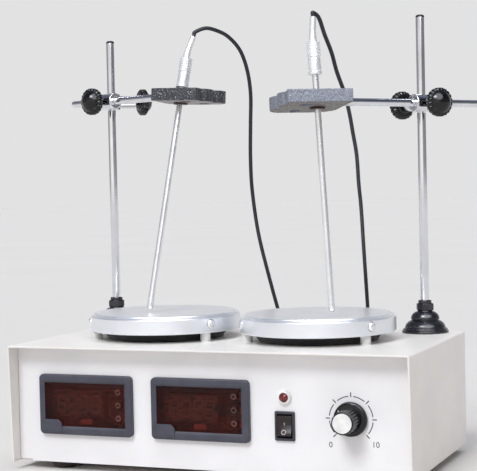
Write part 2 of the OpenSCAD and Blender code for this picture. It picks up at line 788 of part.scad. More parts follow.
// Stirring drives
module drive_motors() {
    color([0.7, 0.7, 0.68]) pair() translate([0, 0, motor_base]) difference() {
        union() {
            cylinder(d = motor_dia, h = motor_h);
            translate([0, 0, motor_h - eps]) cylinder(d = 12, h = bracket_t);
            translate([0, 0, -3]) cylinder(d = 11, h = 3 + eps);
        }
        translate([0, 0, motor_h - 16]) cylinder(d = motor_shaft_dia + 2 * pin_fit, h = 30);
    }
}

module motor_brackets() {
    top = motor_base + motor_h;
    color([0.62, 0.63, 0.65]) pair() {
        difference() {
            translate([-bracket_w / 2, -bracket_d / 2, top]) cube([bracket_w, bracket_d, bracket_t]);
            translate([0, 0, top - 1]) cylinder(d = 12 + 2 * pin_fit, h = bracket_t + 2);
        }
        for (s = [-1, 1]) {
            translate([s * (bracket_w / 2 - bracket_t / 2), 0, (floor_top + top + bracket_t) / 2])
                cube([bracket_t, bracket_d, top + bracket_t - floor_top], center = true);
            translate([s * (bracket_w / 2 + bracket_foot / 2 - bracket_t / 2), 0, floor_top + bracket_t / 2])
                difference() {
                    cube([bracket_foot + bracket_t, bracket_d, bracket_t], center = true);
                    for (y = [-1, 1]) translate([s * 2, y * (bracket_d / 2 - 8), -3])
                        cylinder(d = screw_dia, h = 6);
                }
        }
    }
}

module magnet_rotor(side) {
    color([0.72, 0.73, 0.75]) translate([side * plate_x, plate_y, 0]) difference() {
        union() {
            translate([0, 0, rotor_z]) linear_extrude(rotor_t) rounded_rect(rotor_len, rotor_w, 6.9);
            translate([0, 0, rotor_z - 5]) cylinder(d = 12, h = 5 + eps);
            translate([0, 0, motor_base + motor_h - 15])
                cylinder(d = motor_shaft_dia, h = rotor_z - motor_base - motor_h + 13);
        }
        for (s = [-1, 1]) translate([s * magnet_off, 0, rotor_z + rotor_t - magnet_sunk])
            cylinder(d = magnet_dia + 2 * pin_fit, h = 10);
    }
}

module magnets(side) {
    color([0.25, 0.25, 0.27]) translate([side * plate_x, plate_y, 0])
        for (s = [-1, 1]) translate([s * magnet_off, 0, rotor_z + rotor_t - magnet_sunk])
            cylinder(d = magnet_dia, h = magnet_h);
}

// Board and transformer
module control_board() {
    color([0.12, 0.38, 0.2])
        translate([0, pcb_y, pcb_z + board_t / 2]) cube([pcb_w, pcb_d, board_t], center = true);
    color([0.8, 0.78, 0.7])
        for (x = [-1, 1], y = [-1, 1])
            translate([x * (pcb_w / 2 - 4), pcb_y + y * (pcb_d / 2 - 5), floor_top])
                cylinder(d = 6, h = pcb_z - floor_top + eps);
    top = pcb_z + board_t;
    color([0.15, 0.15, 0.16]) {
        translate([-12, pcb_y - 14, top - eps]) cylinder(d = 13, h = 22);
        translate([6, pcb_y - 14, top - eps]) cylinder(d = 10, h = 16);
        translate([-16, pcb_y + 10, top - eps]) cube([34, 4, 24]);
        translate([-20, pcb_y + 22, top - eps]) cube([40, 8, 10]);
    }
}

module transformer() {
    core_z = floor_top + bracket_t + transformer_core.z / 2;
    translate([transformer_x, transformer_y, 0]) {
        color([0.35, 0.36, 0.38]) difference() {
            union() {
                translate([0, 0, core_z]) cube(transformer_core, center = true);
                translate([0, 0, floor_top + bracket_t / 2])
                    cube([transformer_core.x, transformer_base_d, bracket_t], center = true);
            }
            for (s = [-1, 1]) translate([0, s * (transformer_base_d / 2 - 4), floor_top - 1])
                cylinder(d = screw_dia, h = 5);
        }
        color([0.85, 0.72, 0.3]) translate([0, 0, core_z + 0.5]) cube(transformer_coil, center = true);
    }
}

// Rear panel fittings
module mains_inlet() {
    color([0.08, 0.08, 0.09]) difference() {
        union() {
            face_back(inlet_x, back_y, rear_row_z)
                rounded_plate(inlet_flange.x, inlet_flange.y, 4, inlet_flange_t);
            translate([inlet_x, back_y + 2 - inlet_body.y / 2, rear_row_z]) cube(inlet_body, center = true);
        }
        translate([inlet_x, back_y + 3 - inlet_recess.y / 2, rear_row_z]) cube(inlet_recess, center = true);
        for (s = [-1, 1]) face_back(inlet_x + s * (inlet_flange.x / 2 - 5), back_y - 5, rear_row_z)
            cylinder(d = screw_dia - 0.5, h = 10);
    }
    color([0.8, 0.75, 0.5]) {
        for (s = [-1, 1]) translate([inlet_x + s * 7, back_y - 11, rear_row_z - 2])
            cube([2, 16, 4], center = true);
        translate([inlet_x, back_y - 10, rear_row_z + 3]) cube([2, 18, 4], center = true);
    }
}

module fuse_holder() {
    color([0.08, 0.08, 0.09]) face_back(fuse_x, back_y, rear_row_z) difference() {
        union() {
            cylinder(d = 18, h = 2);
            translate([0, 0, 2 - eps]) cylinder(d1 = 15, d2 = 13.6, h = fuse_cap_h);
            translate([0, 0, -24]) cylinder(d = thread_dia, h = 24 + eps);
        }
        translate([-7, -0.9, fuse_cap_h]) cube([14, 1.8, 4]);
    }
}

module sensor_sockets() {
    color([0.75, 0.75, 0.76]) for (x = sensor_xs) face_back(x, back_y, sensor_z) difference() {
        union() {
            cylinder(d = 17, h = socket_flange_t);
            translate([0, 0, -12]) cylinder(d = thread_dia, h = 12 + eps);
        }
        translate([0, 0, -9]) cylinder(d = socket_bore + 2 * pin_fit, h = 14);
    }
}

module cable_plugs() {
    color([0.12, 0.12, 0.13]) for (x = sensor_xs) face_back(x, back_y + socket_flange_t, sensor_z) {
        translate([0, 0, -9]) cylinder(d = socket_bore, h = 9 + eps);
        rotate_extrude() polygon([
            [0, 0], [plug_dia / 2, 0], [plug_dia / 2, plug_len - 3], [plug_dia / 2 - 2, plug_len],
            [3.4, plug_len], [2.4, plug_len + relief_len], [0, plug_len + relief_len]]);
    }
}

// Stands
module stand_feet() {
    color([0.06, 0.06, 0.07]) for (p = [rod_left, rod_right]) translate([p.x, p.y, case_top]) difference() {
        rotate_extrude($fn = 96) difference() {
            union() {
                square([bell_r, bell_ring_h]);
                translate([0, bell_ring_h]) square([bell_r - 0.9, bell_ring_h]);
                translate([0, 2 * bell_ring_h]) intersection() {
                    square([bell_r, 7]);
                    translate([8.5, -0.8]) circle(r = bell_dome_r);
                }
                translate([0, 2 * bell_ring_h]) square([9, 7]);
                translate([0, 10]) square([neck_r, 1]);
                intersection() {
                    translate([0, 10.8]) square([11.4, 6]);
                    translate([5.4, 10.9]) circle(r = neck_dome_r);
                }
                translate([0, 10.8]) square([6, 6]);
                translate([0, 16.6]) square([5.8, nut_z - 16.4]);
                translate([0, nut_z + nut_h - 0.1]) square([5.25, 2.6]);
            }
            square([rod_dia / 2 + pin_fit, 40]);
        }
        translate([0, 0, -1]) cylinder(d = rod_dia + 2 * pin_fit, h = 40);
    }
    color([0.06, 0.06, 0.07]) for (p = [rod_left, rod_right])
        translate([p.x, p.y, case_top + nut_z]) difference() {
            cylinder(d = nut_w, h = nut_h, $fn = 8);
            translate([0, 0, -1]) cylinder(d = rod_dia + 2 * pin_fit, h = 10);
        }
}

module support_rod(p, top) {
    color([0.82, 0.83, 0.85]) translate([p.x, p.y, 0]) {
        translate([0, 0, case_top + rod_seat]) cylinder(d = rod_dia, h = top - case_top - rod_seat - rod_cap_h);
        translate([0, 0, top - rod_cap_h]) rotate_extrude() polygon([
            [0, -eps], [rod_dia / 2, -eps], [rod_dia / 2, rod_cap_h - 1.2],
            [rod_dia / 2 - 1.4, rod_cap_h], [0, rod_cap_h]]);
    }
}

module boss_head(side) {
    turn = side < 0 ? rod_knob_turn_left : rod_knob_turn_right;
    screw_end = (side < 0 ? rod_knob_dist_left : rod_knob_dist_right) - clamp_knob_len / 2 - 3;
    color([0.85, 0.86, 0.88]) arm_frame(side) difference() {
        union() {
            translate([-boss_in, -cross_off, 0]) rotate([0, 90, 0]) cylinder(r = boss_r, h = boss_in + boss_out);
            cylinder(r = lug_r, h = 2 * boss_r, center = true);
            translate([-lug_r, -cross_off, -boss_r]) cube([2 * lug_r, cross_off, 2 * boss_r]);
            rotate(-turn) rotate([-90, 0, 0]) cylinder(r = 5.4, h = screw_end);
            translate([0, -cross_off, 0]) rotate(arm_knob_turn) rotate([90, 0, 0]) cylinder(r = 5, h = 8);
        }
        translate([-boss_in - 1, -cross_off, 0]) rotate([0, 90, 0])
            cylinder(d = cross_dia + 2 * pin_fit, h = boss_in + boss_out + 2);
        cylinder(d = rod_dia + 2 * pin_fit, h = 40, center = true);
        rotate(-turn) rotate([-90, 0, 0]) cylinder(d = stud_dia + 2 * pin_fit, h = 40);
        translate([0, -cross_off, 0]) rotate(arm_knob_turn) rotate([90, 0, 0])
            cylinder(d = stud_dia + 2 * pin_fit, h = 30);
    }
}

// A clamp screw along +Z from the rod's axis: the stud, then a lobed rim and a domed face
module clamp_knob(rod_r, dist) {
    base = dist - clamp_knob_len / 2;
    tip = rod_r + stud_gap;
    r = clamp_knob_dia / 2;
    rotate_extrude() polygon([
        [0, tip], [stud_tip_dia / 2, tip], [stud_dia / 2, tip + stud_cone],
        [stud_dia / 2, base + 1], [0, base + 1]]);
    translate([0, 0, base]) difference() {
        union() {
            cylinder(d1 = 11, d2 = 13, h = 2);
            rotate_extrude() polygon([
                [0, 1], [r - 2, 1], [r, 2.6], [r, knob_rim_h - 1.2], [r - 1.6, knob_rim_h], [0, knob_rim_h]]);
            intersection() {
                translate([0, 0, clamp_knob_len - knob_dome_r]) sphere(r = knob_dome_r);
                translate([0, 0, 5]) cylinder(r = r - 1.7, h = clamp_knob_len - 5);
            }
        }
        for (i = [0 : knob_lobes - 1]) rotate(360 / knob_lobes * i)
            translate([r + 0.4, 0, 0]) cylinder(d = 2, h = knob_rim_h + 0.1);
    }
}

module rod_knob(side) {
    turn = side < 0 ? rod_knob_turn_left : rod_knob_turn_right;
    dist = side < 0 ? rod_knob_dist_left : rod_knob_dist_right;
    color([0.05, 0.05, 0.06]) arm_frame(side) rotate(-turn) rotate([-90, 0, 0])
        clamp_knob(rod_dia / 2, dist);
}

module arm_knob(side) {
    color([0.05, 0.05, 0.06]) arm_frame(side) translate([0, -cross_off, 0]) rotate(arm_knob_turn)
        rotate([90, 0, 0]) clamp_knob(cross_dia / 2, arm_knob_dist);
}

module cross_rod(side) {
    tail = side < 0 ? cross_tail_left : cross_tail_right;
    reach = (side < 0 ? hold_x_left : hold_x_right) + cross_embed;
    color([0.82, 0.83, 0.85]) arm_frame(side) translate([-tail, -cross_off, 0]) rotate([0, 90, 0])
        rotate_extrude() polygon([
            [0, 0], [cross_dia / 2 - 0.8, 0], [cross_dia / 2, 0.8], [cross_dia / 2, tail + reach - 0.4],
            [cross_dia / 2 - 0.4, tail + reach], [0, tail + reach]]);
}

module holder_outline(corner) {
    polygon([
        [corner, 0], [front_end, 0], [front_end, 12], [52, 30], [48, 43.6], [25, 44.6], [18, 43], [7.4, 32]]);
    translate([45.5, 18]) circle(r = 10);
    translate([49, 33.6]) circle(r = 10);
    translate([20, 30.4]) circle(r = 12.8);
}

module probe_holder(side) {
    color([0.22, 0.21, 0.22]) difference() {
        holder_frame(side) difference() {
            translate([0, 0, -holder_t / 2]) linear_extrude(holder_t)
                holder_outline(side < 0 ? corner_left : corner_right);
            for (p = concat([hole_probe], holes_spare)) translate([p.x, p.y, -holder_t])
                cylinder(d = holder_hole_dia, h = 2 * holder_t);
        }
        arm_frame(side) translate([0, -cross_off, 0]) rotate([0, 90, 0])
            cylinder(d = cross_dia + 2 * bush_slack,
                h = (side < 0 ? hold_x_left : hold_x_right) + cross_embed + 0.1);
    }
}

module probe_bush(side) {
    tip = side < 0 ? tip_left : tip_right;
    dir = side < 0 ? dir_left : dir_right;
    color([0.35, 0.17, 0.13]) difference() {
        holder_frame(side) translate([hole_probe.x, hole_probe.y, 0]) {
            translate([0, 0, -holder_t / 2 - 0.1]) cylinder(d = holder_hole_dia - 2 * bush_slack, h = holder_t);
            translate([0, 0, -holder_t / 2 - bush_flange_t])
                cylinder(d = bush_flange_dia, h = bush_flange_t);
        }
        along(tip, dir) cylinder(d = probe_dia + 2 * pin_fit, h = 260);
    }
}

module probe(side) {
    tip = side < 0 ? tip_left : tip_right;
    dir = side < 0 ? dir_left : dir_right;
    hole = side < 0 ? hole_left : hole_right;
    length = norm(hole - tip) + (side < 0 ? stem_left : stem_right) + 1;
    color([0.8, 0.8, 0.82]) along(tip, dir) {
        translate([0, 0, probe_dia / 2]) sphere(d = probe_dia);
        translate([0, 0, probe_dia / 2]) cylinder(d = probe_dia, h = length - probe_dia / 2);
    }
}

// Chrome plug with a ribbed grip and a bent tail
module probe_plug(side) {
    dir = side < 0 ? dir_left : dir_right;
    base = side < 0 ? plug_base_left : plug_base_right;
    tail_dir = side < 0 ? tail_dir_left : tail_dir_right;
    ribs_z = plug_collar_h + plug_body_h;
    groove = plug_rib_dia / 2 - 0.8;
    color([0.86, 0.87, 0.89]) difference() {
        union() {
            along(base, dir) rotate_extrude() polygon([
                [0, 0], [plug_collar_dia / 2 + 0.4, 0], [plug_collar_dia / 2 + 0.4, plug_collar_h],
                [plug_body_dia / 2 - 0.4, plug_collar_h], [plug_body_dia / 2, plug_collar_h + 0.6],
                [plug_body_dia / 2, ribs_z - 0.6],
                for (i = [0 : plug_ribs - 1]) each [
                    [groove, ribs_z + i * plug_rib_pitch],
                    [groove, ribs_z + (i + 0.35) * plug_rib_pitch],
                    [plug_rib_dia / 2, ribs_z + (i + 0.45) * plug_rib_pitch],
                    [plug_rib_dia / 2, ribs_z + (i + 0.9) * plug_rib_pitch]],
                [tail_root_dia / 2 + 0.5, plug_h],
                [tail_root_dia / 2, plug_h + 1], [tail_root_dia / 2 - 0.2, plug_h + tail_straight],
                [0, plug_h + tail_straight]]);
            along(base + dir * (plug_h + tail_straight) - tail_dir, tail_dir)
                cylinder(d1 = tail_root_dia - 0.3, d2 = tail_end_dia, h = tail_bent + 1);
        }
        along(base - dir, dir) cylinder(d = probe_dia + 2 * bush_slack, h = 2.1);
    }
}

case_cover();
chassis();
rubber_feet();
case_screws();
meter_case(meter_left_x);  // meter_case_left
meter_case(meter_right_x);  // meter_case_right
meter_windows();
meter_boards();
pilot_bezel();
pilot_lens();
switch_frame();
switch_rocker();
speed_knob();
knob_cap();
speed_shaft();
speed_pot();
heater_plate(-1);  // heater_plate_left
heater_plate(1);  // heater_plate_right
heat_shields();
plate_spacers();
plate_screws();
drive_motors();
motor_brackets();
magnet_rotor(-1);  // magnet_rotor_left
magnet_rotor(1);  // magnet_rotor_right
magnets(-1);  // magnets_left
magnets(1);  // magnets_right
control_board();
transformer();
mains_inlet();
fuse_holder();
sensor_sockets();
stand_feet();
support_rod(rod_left, rod_top_left);  // support_rod_left
support_rod(rod_right, rod_top_right);  // support_rod_right
boss_head(-1);  // boss_head_left
boss_head(1);  // boss_head_right
rod_knob(-1);  // rod_knob_left
rod_knob(1);  // rod_knob_right
arm_knob(-1);  // arm_knob_left
arm_knob(1);  // arm_knob_right
cross_rod(-1);  // cross_rod_left
cross_rod(1);  // cross_rod_right
probe_holder(-1);  // probe_holder_left
probe_holder(1);  // probe_holder_right
probe_bush(-1);  // probe_bush_left
probe_bush(1);  // probe_bush_right
probe(-1);  // probe_left
probe(1);  // probe_right
probe_plug(-1);  // probe_plug_left
probe_plug(1);  // probe_plug_right
cable_plugs();
cable(route_left, 1);  // cable_left_1
cable(route_left, 2);  // cable_left_2
cable(route_left, 3);  // cable_left_3
cable(route_left, 4);  // cable_left_4
cable(route_right, 1);  // cable_right_1
cable(route_right, 2);  // cable_right_2
cable(route_right, 3);  // cable_right_3
cable(route_right, 4);  // cable_right_4
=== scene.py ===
from math import acos, atan2, cos, degrees, radians, sin, tau

import bmesh
import bpy
from mathutils import Matrix, Vector
from mathutils import noise as skin_noise


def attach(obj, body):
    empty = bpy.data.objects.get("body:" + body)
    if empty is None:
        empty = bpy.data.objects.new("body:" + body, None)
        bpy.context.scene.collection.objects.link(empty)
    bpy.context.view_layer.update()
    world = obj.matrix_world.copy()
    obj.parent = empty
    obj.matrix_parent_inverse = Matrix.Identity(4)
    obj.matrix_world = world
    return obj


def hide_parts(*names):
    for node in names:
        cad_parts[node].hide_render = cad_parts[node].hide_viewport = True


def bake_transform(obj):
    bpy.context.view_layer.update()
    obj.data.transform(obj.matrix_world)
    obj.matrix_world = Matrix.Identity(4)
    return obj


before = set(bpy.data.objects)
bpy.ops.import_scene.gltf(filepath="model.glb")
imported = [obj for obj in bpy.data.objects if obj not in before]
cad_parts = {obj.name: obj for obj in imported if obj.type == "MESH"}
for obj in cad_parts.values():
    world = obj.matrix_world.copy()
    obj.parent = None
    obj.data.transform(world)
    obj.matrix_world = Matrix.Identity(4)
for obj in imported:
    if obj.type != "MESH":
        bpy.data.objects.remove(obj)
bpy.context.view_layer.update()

SIDES = ("left", "right")


def pair(left, right):
    return {"left": left, "right": right}


# Sizes are in millimetres, as in the part's source, and become metres when a mesh is made
MM = 0.001
PICTURE_W = 477
SENSOR = 36.0

CASE_W = 320.0
CASE_D = 170.0
CASE_TOP = 97.0
CASE_BASE = 6.0
SHEET = 1.5
COVER_R = 2.0
SIDE_SLANT = 4.0
FLANGE_W = 10.0
FLANGE_Y = -68.0
BACK_Y = CASE_D / 2
PANEL_Y = -71.0
FLOOR_Z = CASE_BASE + SHEET

FOOT_X = 126.5
FOOT_YS = (-57.0, 62.0)
FOOT_R = 12.0

METER_XS = pair(-98.8, -3.7)
METER_Z = 51.4
METER_W = 79.0
METER_H = 46.5
METER_R = 3.5
METER_PROUD = 4.0
METER_EDGE = 1.1
BODY_W = 75.0
BODY_H = 42.0
BODY_DEPTH = 45.5
METER_WALL = 2.0
WINDOW_W = 68.5
WINDOW_H = 33.8
WINDOW_DX = -0.8
WINDOW_DZ = 0.1
WINDOW_SUNK = 0.8
WINDOW_T = 2.0
TAB_W = 16.4
TAB_H = 9.9
TAB_CUT = 3.2
TRIMMER_DX = 25.4
TRIMMER_PITCH = 10.0
DIGIT_H = 12.5
DIGIT_PITCH = 9.6
FIRST_DIGIT_X = -22.5
DIGIT_LEAN = 0.09
DIGIT_FACE_Z = -1.5

SWITCH_X = 62.7
SWITCH_Z = 41.8
PILOT_Z = 62.8
SWITCH_BODY = (13.3, 19.6)
SWITCH_RIM = (15.3, 21.6)
SWITCH_HOLE = (11.6, 17.4)
ROCKER_W = 11.2
ROCKER_R = 8.5
ROCKER_VALLEY = 3.62
ROCKER_FLAT = 9.9
ROCKER_TILT = 10.0
PIVOT_Y = PANEL_Y + SHEET

KNOB_X = 112.8
KNOB_Z = 48.9
KNOB_H = 22.0
SKIRT_R = 12.7
SKIRT_T = 3.5
BARREL_R = 9.0
BARREL_TOP_R = 8.1
CAP_R = 7.1
FLUTES = 24
FLUTE_DEPTH = 0.5
SHAFT_HOLE_R = 3.05
POINTER = 143.5
DIAL_R = 16.3
DIAL_LINE = 0.7
TICKS = 7
TICK_START = 225
TICK_STEP = 45
TICK_ENDS = (15.7, 19.1)
TICK_W = 0.75
TICK_GAP = 6.5
INK_T = 0.05
NUMBER_H = 5.8
NUMBER_T = 0.03
DIAL_NUMBERS = (("dial_low", "0", 97.2, 29.6), ("dial_high", "10", 130.8, 30.9))

PLATE_X = 64.5
PLATE_Y = 3.0
PLATE_Z = 103.8
SHIELD_R = 45.0

ROD_R = 3.5
RODS = pair((-141.0, 69.0), (132.0, 69.0))
ROD_TOPS = pair(343.2, 348.5)
ROD_SEAT = 4.0
ROD_CAP = 2.0
BOSS_Z = pair(290.6, 278.3)
ARM_TURN = pair(-24.0, -124.0)
CROSS_OFF = 9.5
CROSS_R = 3.0
CROSS_TAIL = pair(40.0, 75.0)
CROSS_EMBED = 15.0
ARM_KNOB_TURN = 8.0
ARM_KNOB_DIST = 15.5
ROD_KNOB_TURN = pair(22.0, -4.0)
ROD_KNOB_DIST = pair(30.0, 27.0)
CLAMP_R = 11.3
CLAMP_LEN = 12.5
STUD_R = 2.5
STUD_TIP_R = 1.2
STUD_CONE = 1.5
STUD_GAP = 0.3
LOBES = 20
LOBE_DEPTH = 0.75
DOME_R = 10.7
DOME_START = 32
BELL_HOLE_R = 3.6

HOLD_X = pair(70.8, 82.0)
HOLD_TURN = pair(20.0, 27.0)
HOLD_TILT = pair(2.5, 7.5)
HOLD_DIP = pair(2.0, 0.0)
HOLD_V = 29.0
HOLD_T = 10.0
HOLE_PROBE = (24.3, 24.0)
TIPS = pair((-71.0, -13.0, 120.0), (86.0, -28.0, 121.5))
STEMS = pair(7.4, 20.0)
PROBE_R = 2.5
COLLAR_H = 2.4
PLUG_BODY_H = 10.0
PLUG_RIBS = 6
RIB_PITCH = 2.0
PLUG_H = COLLAR_H + PLUG_BODY_H + PLUG_RIBS * RIB_PITCH
TAIL_STRAIGHT = 5.0
TAIL_BENT = 14.5
TAIL_BEND = pair(12.0, 5.0)
TAIL_SIDE = 22.0
CABLE_R = 1.6
CABLE_SIDES = 16
PLUG_R = 5.3
SOCKET_XS = (0.0, 70.0)
SOCKET_Z = 58.0
SOCKET_PROUD = 2.0
REAR_PLUG_BODY = 14.0
REAR_PLUG_TAIL = 8.3
PLUG_TAIL_Y = BACK_Y + SOCKET_PROUD + REAR_PLUG_BODY + REAR_PLUG_TAIL

# The cables' routes from the probe plugs to the rear panel, and the spans passed at each stretch's ends
ROUTES = pair(
    [
        (-42, 44, 346), (-36, 50, 345), (-28, 59, 340), (-21, 68, 329),
        (-18, 76, 313), (-18, 83, 293), (-21, 89, 268), (-24, 95, 240),
        (-25, 100, 212), (-23, 107, 176), (-18, 114, 143), (-11, 120, 108),
        (-4, 123, 80), (0, 119, 62),
    ],
    [
        (75, -12, 342), (77, -5, 330), (79, 5, 317), (80, 14, 303),
        (82, 25, 288), (82, 38, 272), (81, 50, 256), (80, 62, 239),
        (77, 76, 216), (75, 88, 196), (73, 99, 167), (72, 107, 138),
        (71, 115, 108), (70, 121, 82), (70, 119, 63),
    ],
)
TAIL_LEAD = pair(4.0, 3.0)
STRETCH_ENDS = pair((0, 5, 9.5, 13.5, 19), (0, 5, 10, 15, 20))
STEPS_PER_SPAN = 8


# Places and turns
def shift(x, y, z):
    return Matrix.Translation((x, y, z))


def turn(axis, angle):
    return Matrix.Rotation(radians(angle), 4, axis)


def facing_front(x, y, z):
    """Local Z comes out of the front panel."""
    return shift(x, y, z) @ turn("X", 90)


def along(point, way):
    """Local Z runs along way from the point."""
    tilt = degrees(acos(max(-1.0, min(1.0, way[2]))))
    return shift(*point) @ turn("Z", degrees(atan2(way[1], way[0]))) @ turn("Y", tilt)


def arm_place(side):
    """The boss head's frame: X along the cross rod, and mirrored on the right."""
    x, y = RODS[side]
    flip = Matrix.Scale(-1, 4, (0, 1, 0)) if side == "right" else Matrix.Identity(4)
    return shift(x, y, BOSS_Z[side]) @ turn("Z", ARM_TURN[side]) @ flip


def holder_place(side):
    return (
        arm_place(side)
        @ shift(HOLD_X[side], -CROSS_OFF, 0)
        @ turn("Z", HOLD_TURN[side])
        @ turn("Y", HOLD_DIP[side])
        @ turn("X", -HOLD_TILT[side])
        @ shift(0, -HOLD_V, 0)
    )


def probe_line(side):
    """The hole's middle and the probe's direction, from the tip up."""
    hole = holder_place(side) @ Vector((*HOLE_PROBE, 0))
    return hole, (hole - Vector(TIPS[side])).normalized()


def tail_line(side):
    """The end of the plug's bent tail, and its direction."""
    hole, way = probe_line(side)
    level = Vector((cos(radians(TAIL_SIDE)), sin(radians(TAIL_SIDE)), 0))
    across = (level - way * level.dot(way)).normalized()
    bend = radians(TAIL_BEND[side])
    tail = way * cos(bend) + across * sin(bend)
    knee = hole + way * (STEMS[side] + PLUG_H + TAIL_STRAIGHT)
    return knee + tail * TAIL_BENT, tail


# Objects
def add_object(name, data):
    obj = bpy.data.objects.new(name, data)
    bpy.context.scene.collection.objects.link(obj)
    return obj


# Camera
CAMERA_AT = (426.68, -1070.24, 220.12)
CAMERA_YAW = -0.38652
CAMERA_PITCH = -0.03652
CAMERA_ROLL = -0.02264
FOCAL_PIXELS = 1469.87
SHIFT_X_PIXELS = 11.95


def make_camera():
    level = Vector((cos(CAMERA_YAW), -sin(CAMERA_YAW), 0))
    flat = cos(CAMERA_PITCH)
    ahead = Vector((sin(CAMERA_YAW) * flat, cos(CAMERA_YAW) * flat, sin(CAMERA_PITCH)))
    over = level.cross(ahead)
    right = level * cos(CAMERA_ROLL) + over * sin(CAMERA_ROLL)
    up = over * cos(CAMERA_ROLL) - level * sin(CAMERA_ROLL)
    data = bpy.data.cameras.new("camera")
    data.sensor_fit = "HORIZONTAL"
    data.sensor_width = SENSOR
    data.lens = FOCAL_PIXELS / PICTURE_W * SENSOR
    data.shift_x = SHIFT_X_PIXELS / PICTURE_W
    data.clip_start = 0.01
    data.clip_end = 100
    camera = add_object("camera", data)
    columns = Matrix((right, up, -ahead)).transposed().to_4x4()
    camera.matrix_world = Matrix.Translation(Vector(CAMERA_AT) * MM) @ columns
    bpy.context.scene.camera = camera


make_camera()


# Colours and materials
def srgb(red, green, blue):
    """A linear colour from screen values of 0 to 255."""
    def linear(value):
        value /= 255
        return value / 12.92 if value <= 0.04045 else ((value + 0.055) / 1.055) ** 2.4
    return (linear(red), linear(green), linear(blue))


def fill(node, **inputs):
    """Sets or links a node's inputs; an input's name is given with _ for a space."""
    for name, value in inputs.items():
        socket = node.inputs[name.replace("_", " ")]
        if isinstance(value, bpy.types.NodeSocket):
            node.id_data.links.new(value, socket)
        else:
            socket.default_value = value
    return node


def add_node(tree, kind, **inputs):
    return fill(tree.nodes.new(f"ShaderNode{kind}"), **inputs)


def principled(mat):
    return mat.node_tree.nodes["Principled BSDF"]


def plain(name, colour, roughness, metallic=0.0, **inputs):
    """A Principled material with these inputs."""
    mat = bpy.data.materials.new(name)
    mat.use_nodes = True
    fill(principled(mat), Base_Color=(*colour, 1), Roughness=roughness, Metallic=metallic, **inputs)
    return mat


def place_coordinates(mat, stretch=(1, 1, 1), centre=(0, 0, 0), heading=0.0):
    """Object coordinates from centre, in millimetres, turned by heading degrees, then stretched."""
    coordinates = add_node(mat.node_tree, "TexCoord")
    mapping = add_node(
        mat.node_tree, "Mapping", Vector=coordinates.outputs["Object"], Location=[c * MM for c in centre],
        Rotation=(0, 0, radians(heading)), Scale=[1 / s for s in stretch])
    mapping.vector_type = "TEXTURE"
    return mapping.outputs["Vector"]


def noise(mat, size, detail=3.0, stretch=(1, 1, 1), heading=0.0):
    """Noise whose features are about size millimetres across."""
    texture = add_node(
        mat.node_tree, "TexNoise", Vector=place_coordinates(mat, stretch, heading=heading),
        Scale=1 / (size * MM), Detail=detail)
    return texture.outputs["Fac"]


# The wave texture repeats at this length when its scale is 1
WAVE_PITCH = 0.314


def waves(mat, kind, pitch, centre, distortion):
    """Turning marks round the Z axis through centre, or lines across Z, pitch millimetres apart."""
    texture = add_node(
        mat.node_tree, "TexWave", Vector=place_coordinates(mat, centre=centre),
        Scale=WAVE_PITCH / (pitch * MM), Distortion=distortion, Detail=2.0)
    texture.wave_type = kind
    texture.rings_direction = "Z"
    texture.bands_direction = "Z"
    return texture.outputs["Fac"]


def ramp_colour(tree, source, stops):
    """A colour that goes through stops, each a position and a colour, as source grows."""
    ramp = add_node(tree, "ValToRGB", Fac=source)
    elements = ramp.color_ramp.elements
    while len(elements) < len(stops):
        elements.new(0.5)
    for element, (position, colour) in zip(elements, stops):
        element.position = position
        element.color = (*colour, 1)
    return ramp.outputs["Color"]


def mixed(tree, kind, factor, first, second):
    mix = tree.nodes.new("ShaderNodeMix")
    mix.data_type = "RGBA"
    mix.blend_type = kind
    fill(mix, Factor=factor)
    colours = [socket for socket in mix.inputs if socket.type == "RGBA"]
    tree.links.new(first, colours[0])
    tree.links.new(second, colours[1])
    return [socket for socket in mix.outputs if socket.type == "RGBA"][0]


def mapped(tree, value, **limits):
    return add_node(tree, "MapRange", Value=value, **limits).outputs["Result"]


def tint(mat, source, low, high, start=0.35, end=0.65):
    """The base colour goes from low to high as source goes from start to end."""
    colour = ramp_colour(mat.node_tree, source, ((start, low), (end, high)))
    fill(principled(mat), Base_Color=colour)


def rough(mat, grain, low, high):
    """The roughness goes from low to high over noise of that size, detail, stretch and heading."""
    spread = mapped(
        mat.node_tree, noise(mat, *grain), From_Min=0.3, From_Max=0.7, To_Min=low, To_Max=high)
    fill(principled(mat), Roughness=spread)


def bump(mat, source, depth):
    """Relief of that depth in millimetres, on top of any that the material has."""
    shader = principled(mat)
    relief = add_node(mat.node_tree, "Bump", Height=source, Distance=depth * MM, Strength=1.0)
    earlier = shader.inputs["Normal"].links
    if earlier:
        fill(relief, Normal=earlier[0].from_socket)
    fill(shader, Normal=relief.outputs["Normal"])


def lighter(colour, factor):
    return tuple(min(1.0, c * factor) for c in colour)


def clouded(mat, colour, size, detail, low, high):
    """Patches of about that size, from low to high times the colour."""
    tint(mat, noise(mat, size, detail), lighter(colour, low), lighter(colour, high))


def painted(name, colour, roughness):
    """Stoved paint on sheet metal: faint clouding, orange peel and small dust specks."""
    mat = plain(name, colour, roughness, Coat_Weight=0.12, Coat_Roughness=0.15)
    clouded(mat, colour, 45, 4, 0.955, 1.02)
    rough(mat, (18, 3), roughness - 0.05, roughness + 0.08)
    bump(mat, noise(mat, 1.6, 2), 0.012)
    bump(mat, noise(mat, 0.35, 1), 0.003)
    return mat


def moulded(name, colour, roughness, grain):
    """Moulded plastic with a fine spark-eroded skin."""
    mat = plain(name, colour, roughness)
    clouded(mat, colour, 9, 4, 0.86, 1.12)
    rough(mat, (5, 3), max(0.03, roughness - 0.07), roughness + 0.09)
    bump(mat, noise(mat, 0.45, 2), grain)
    return mat


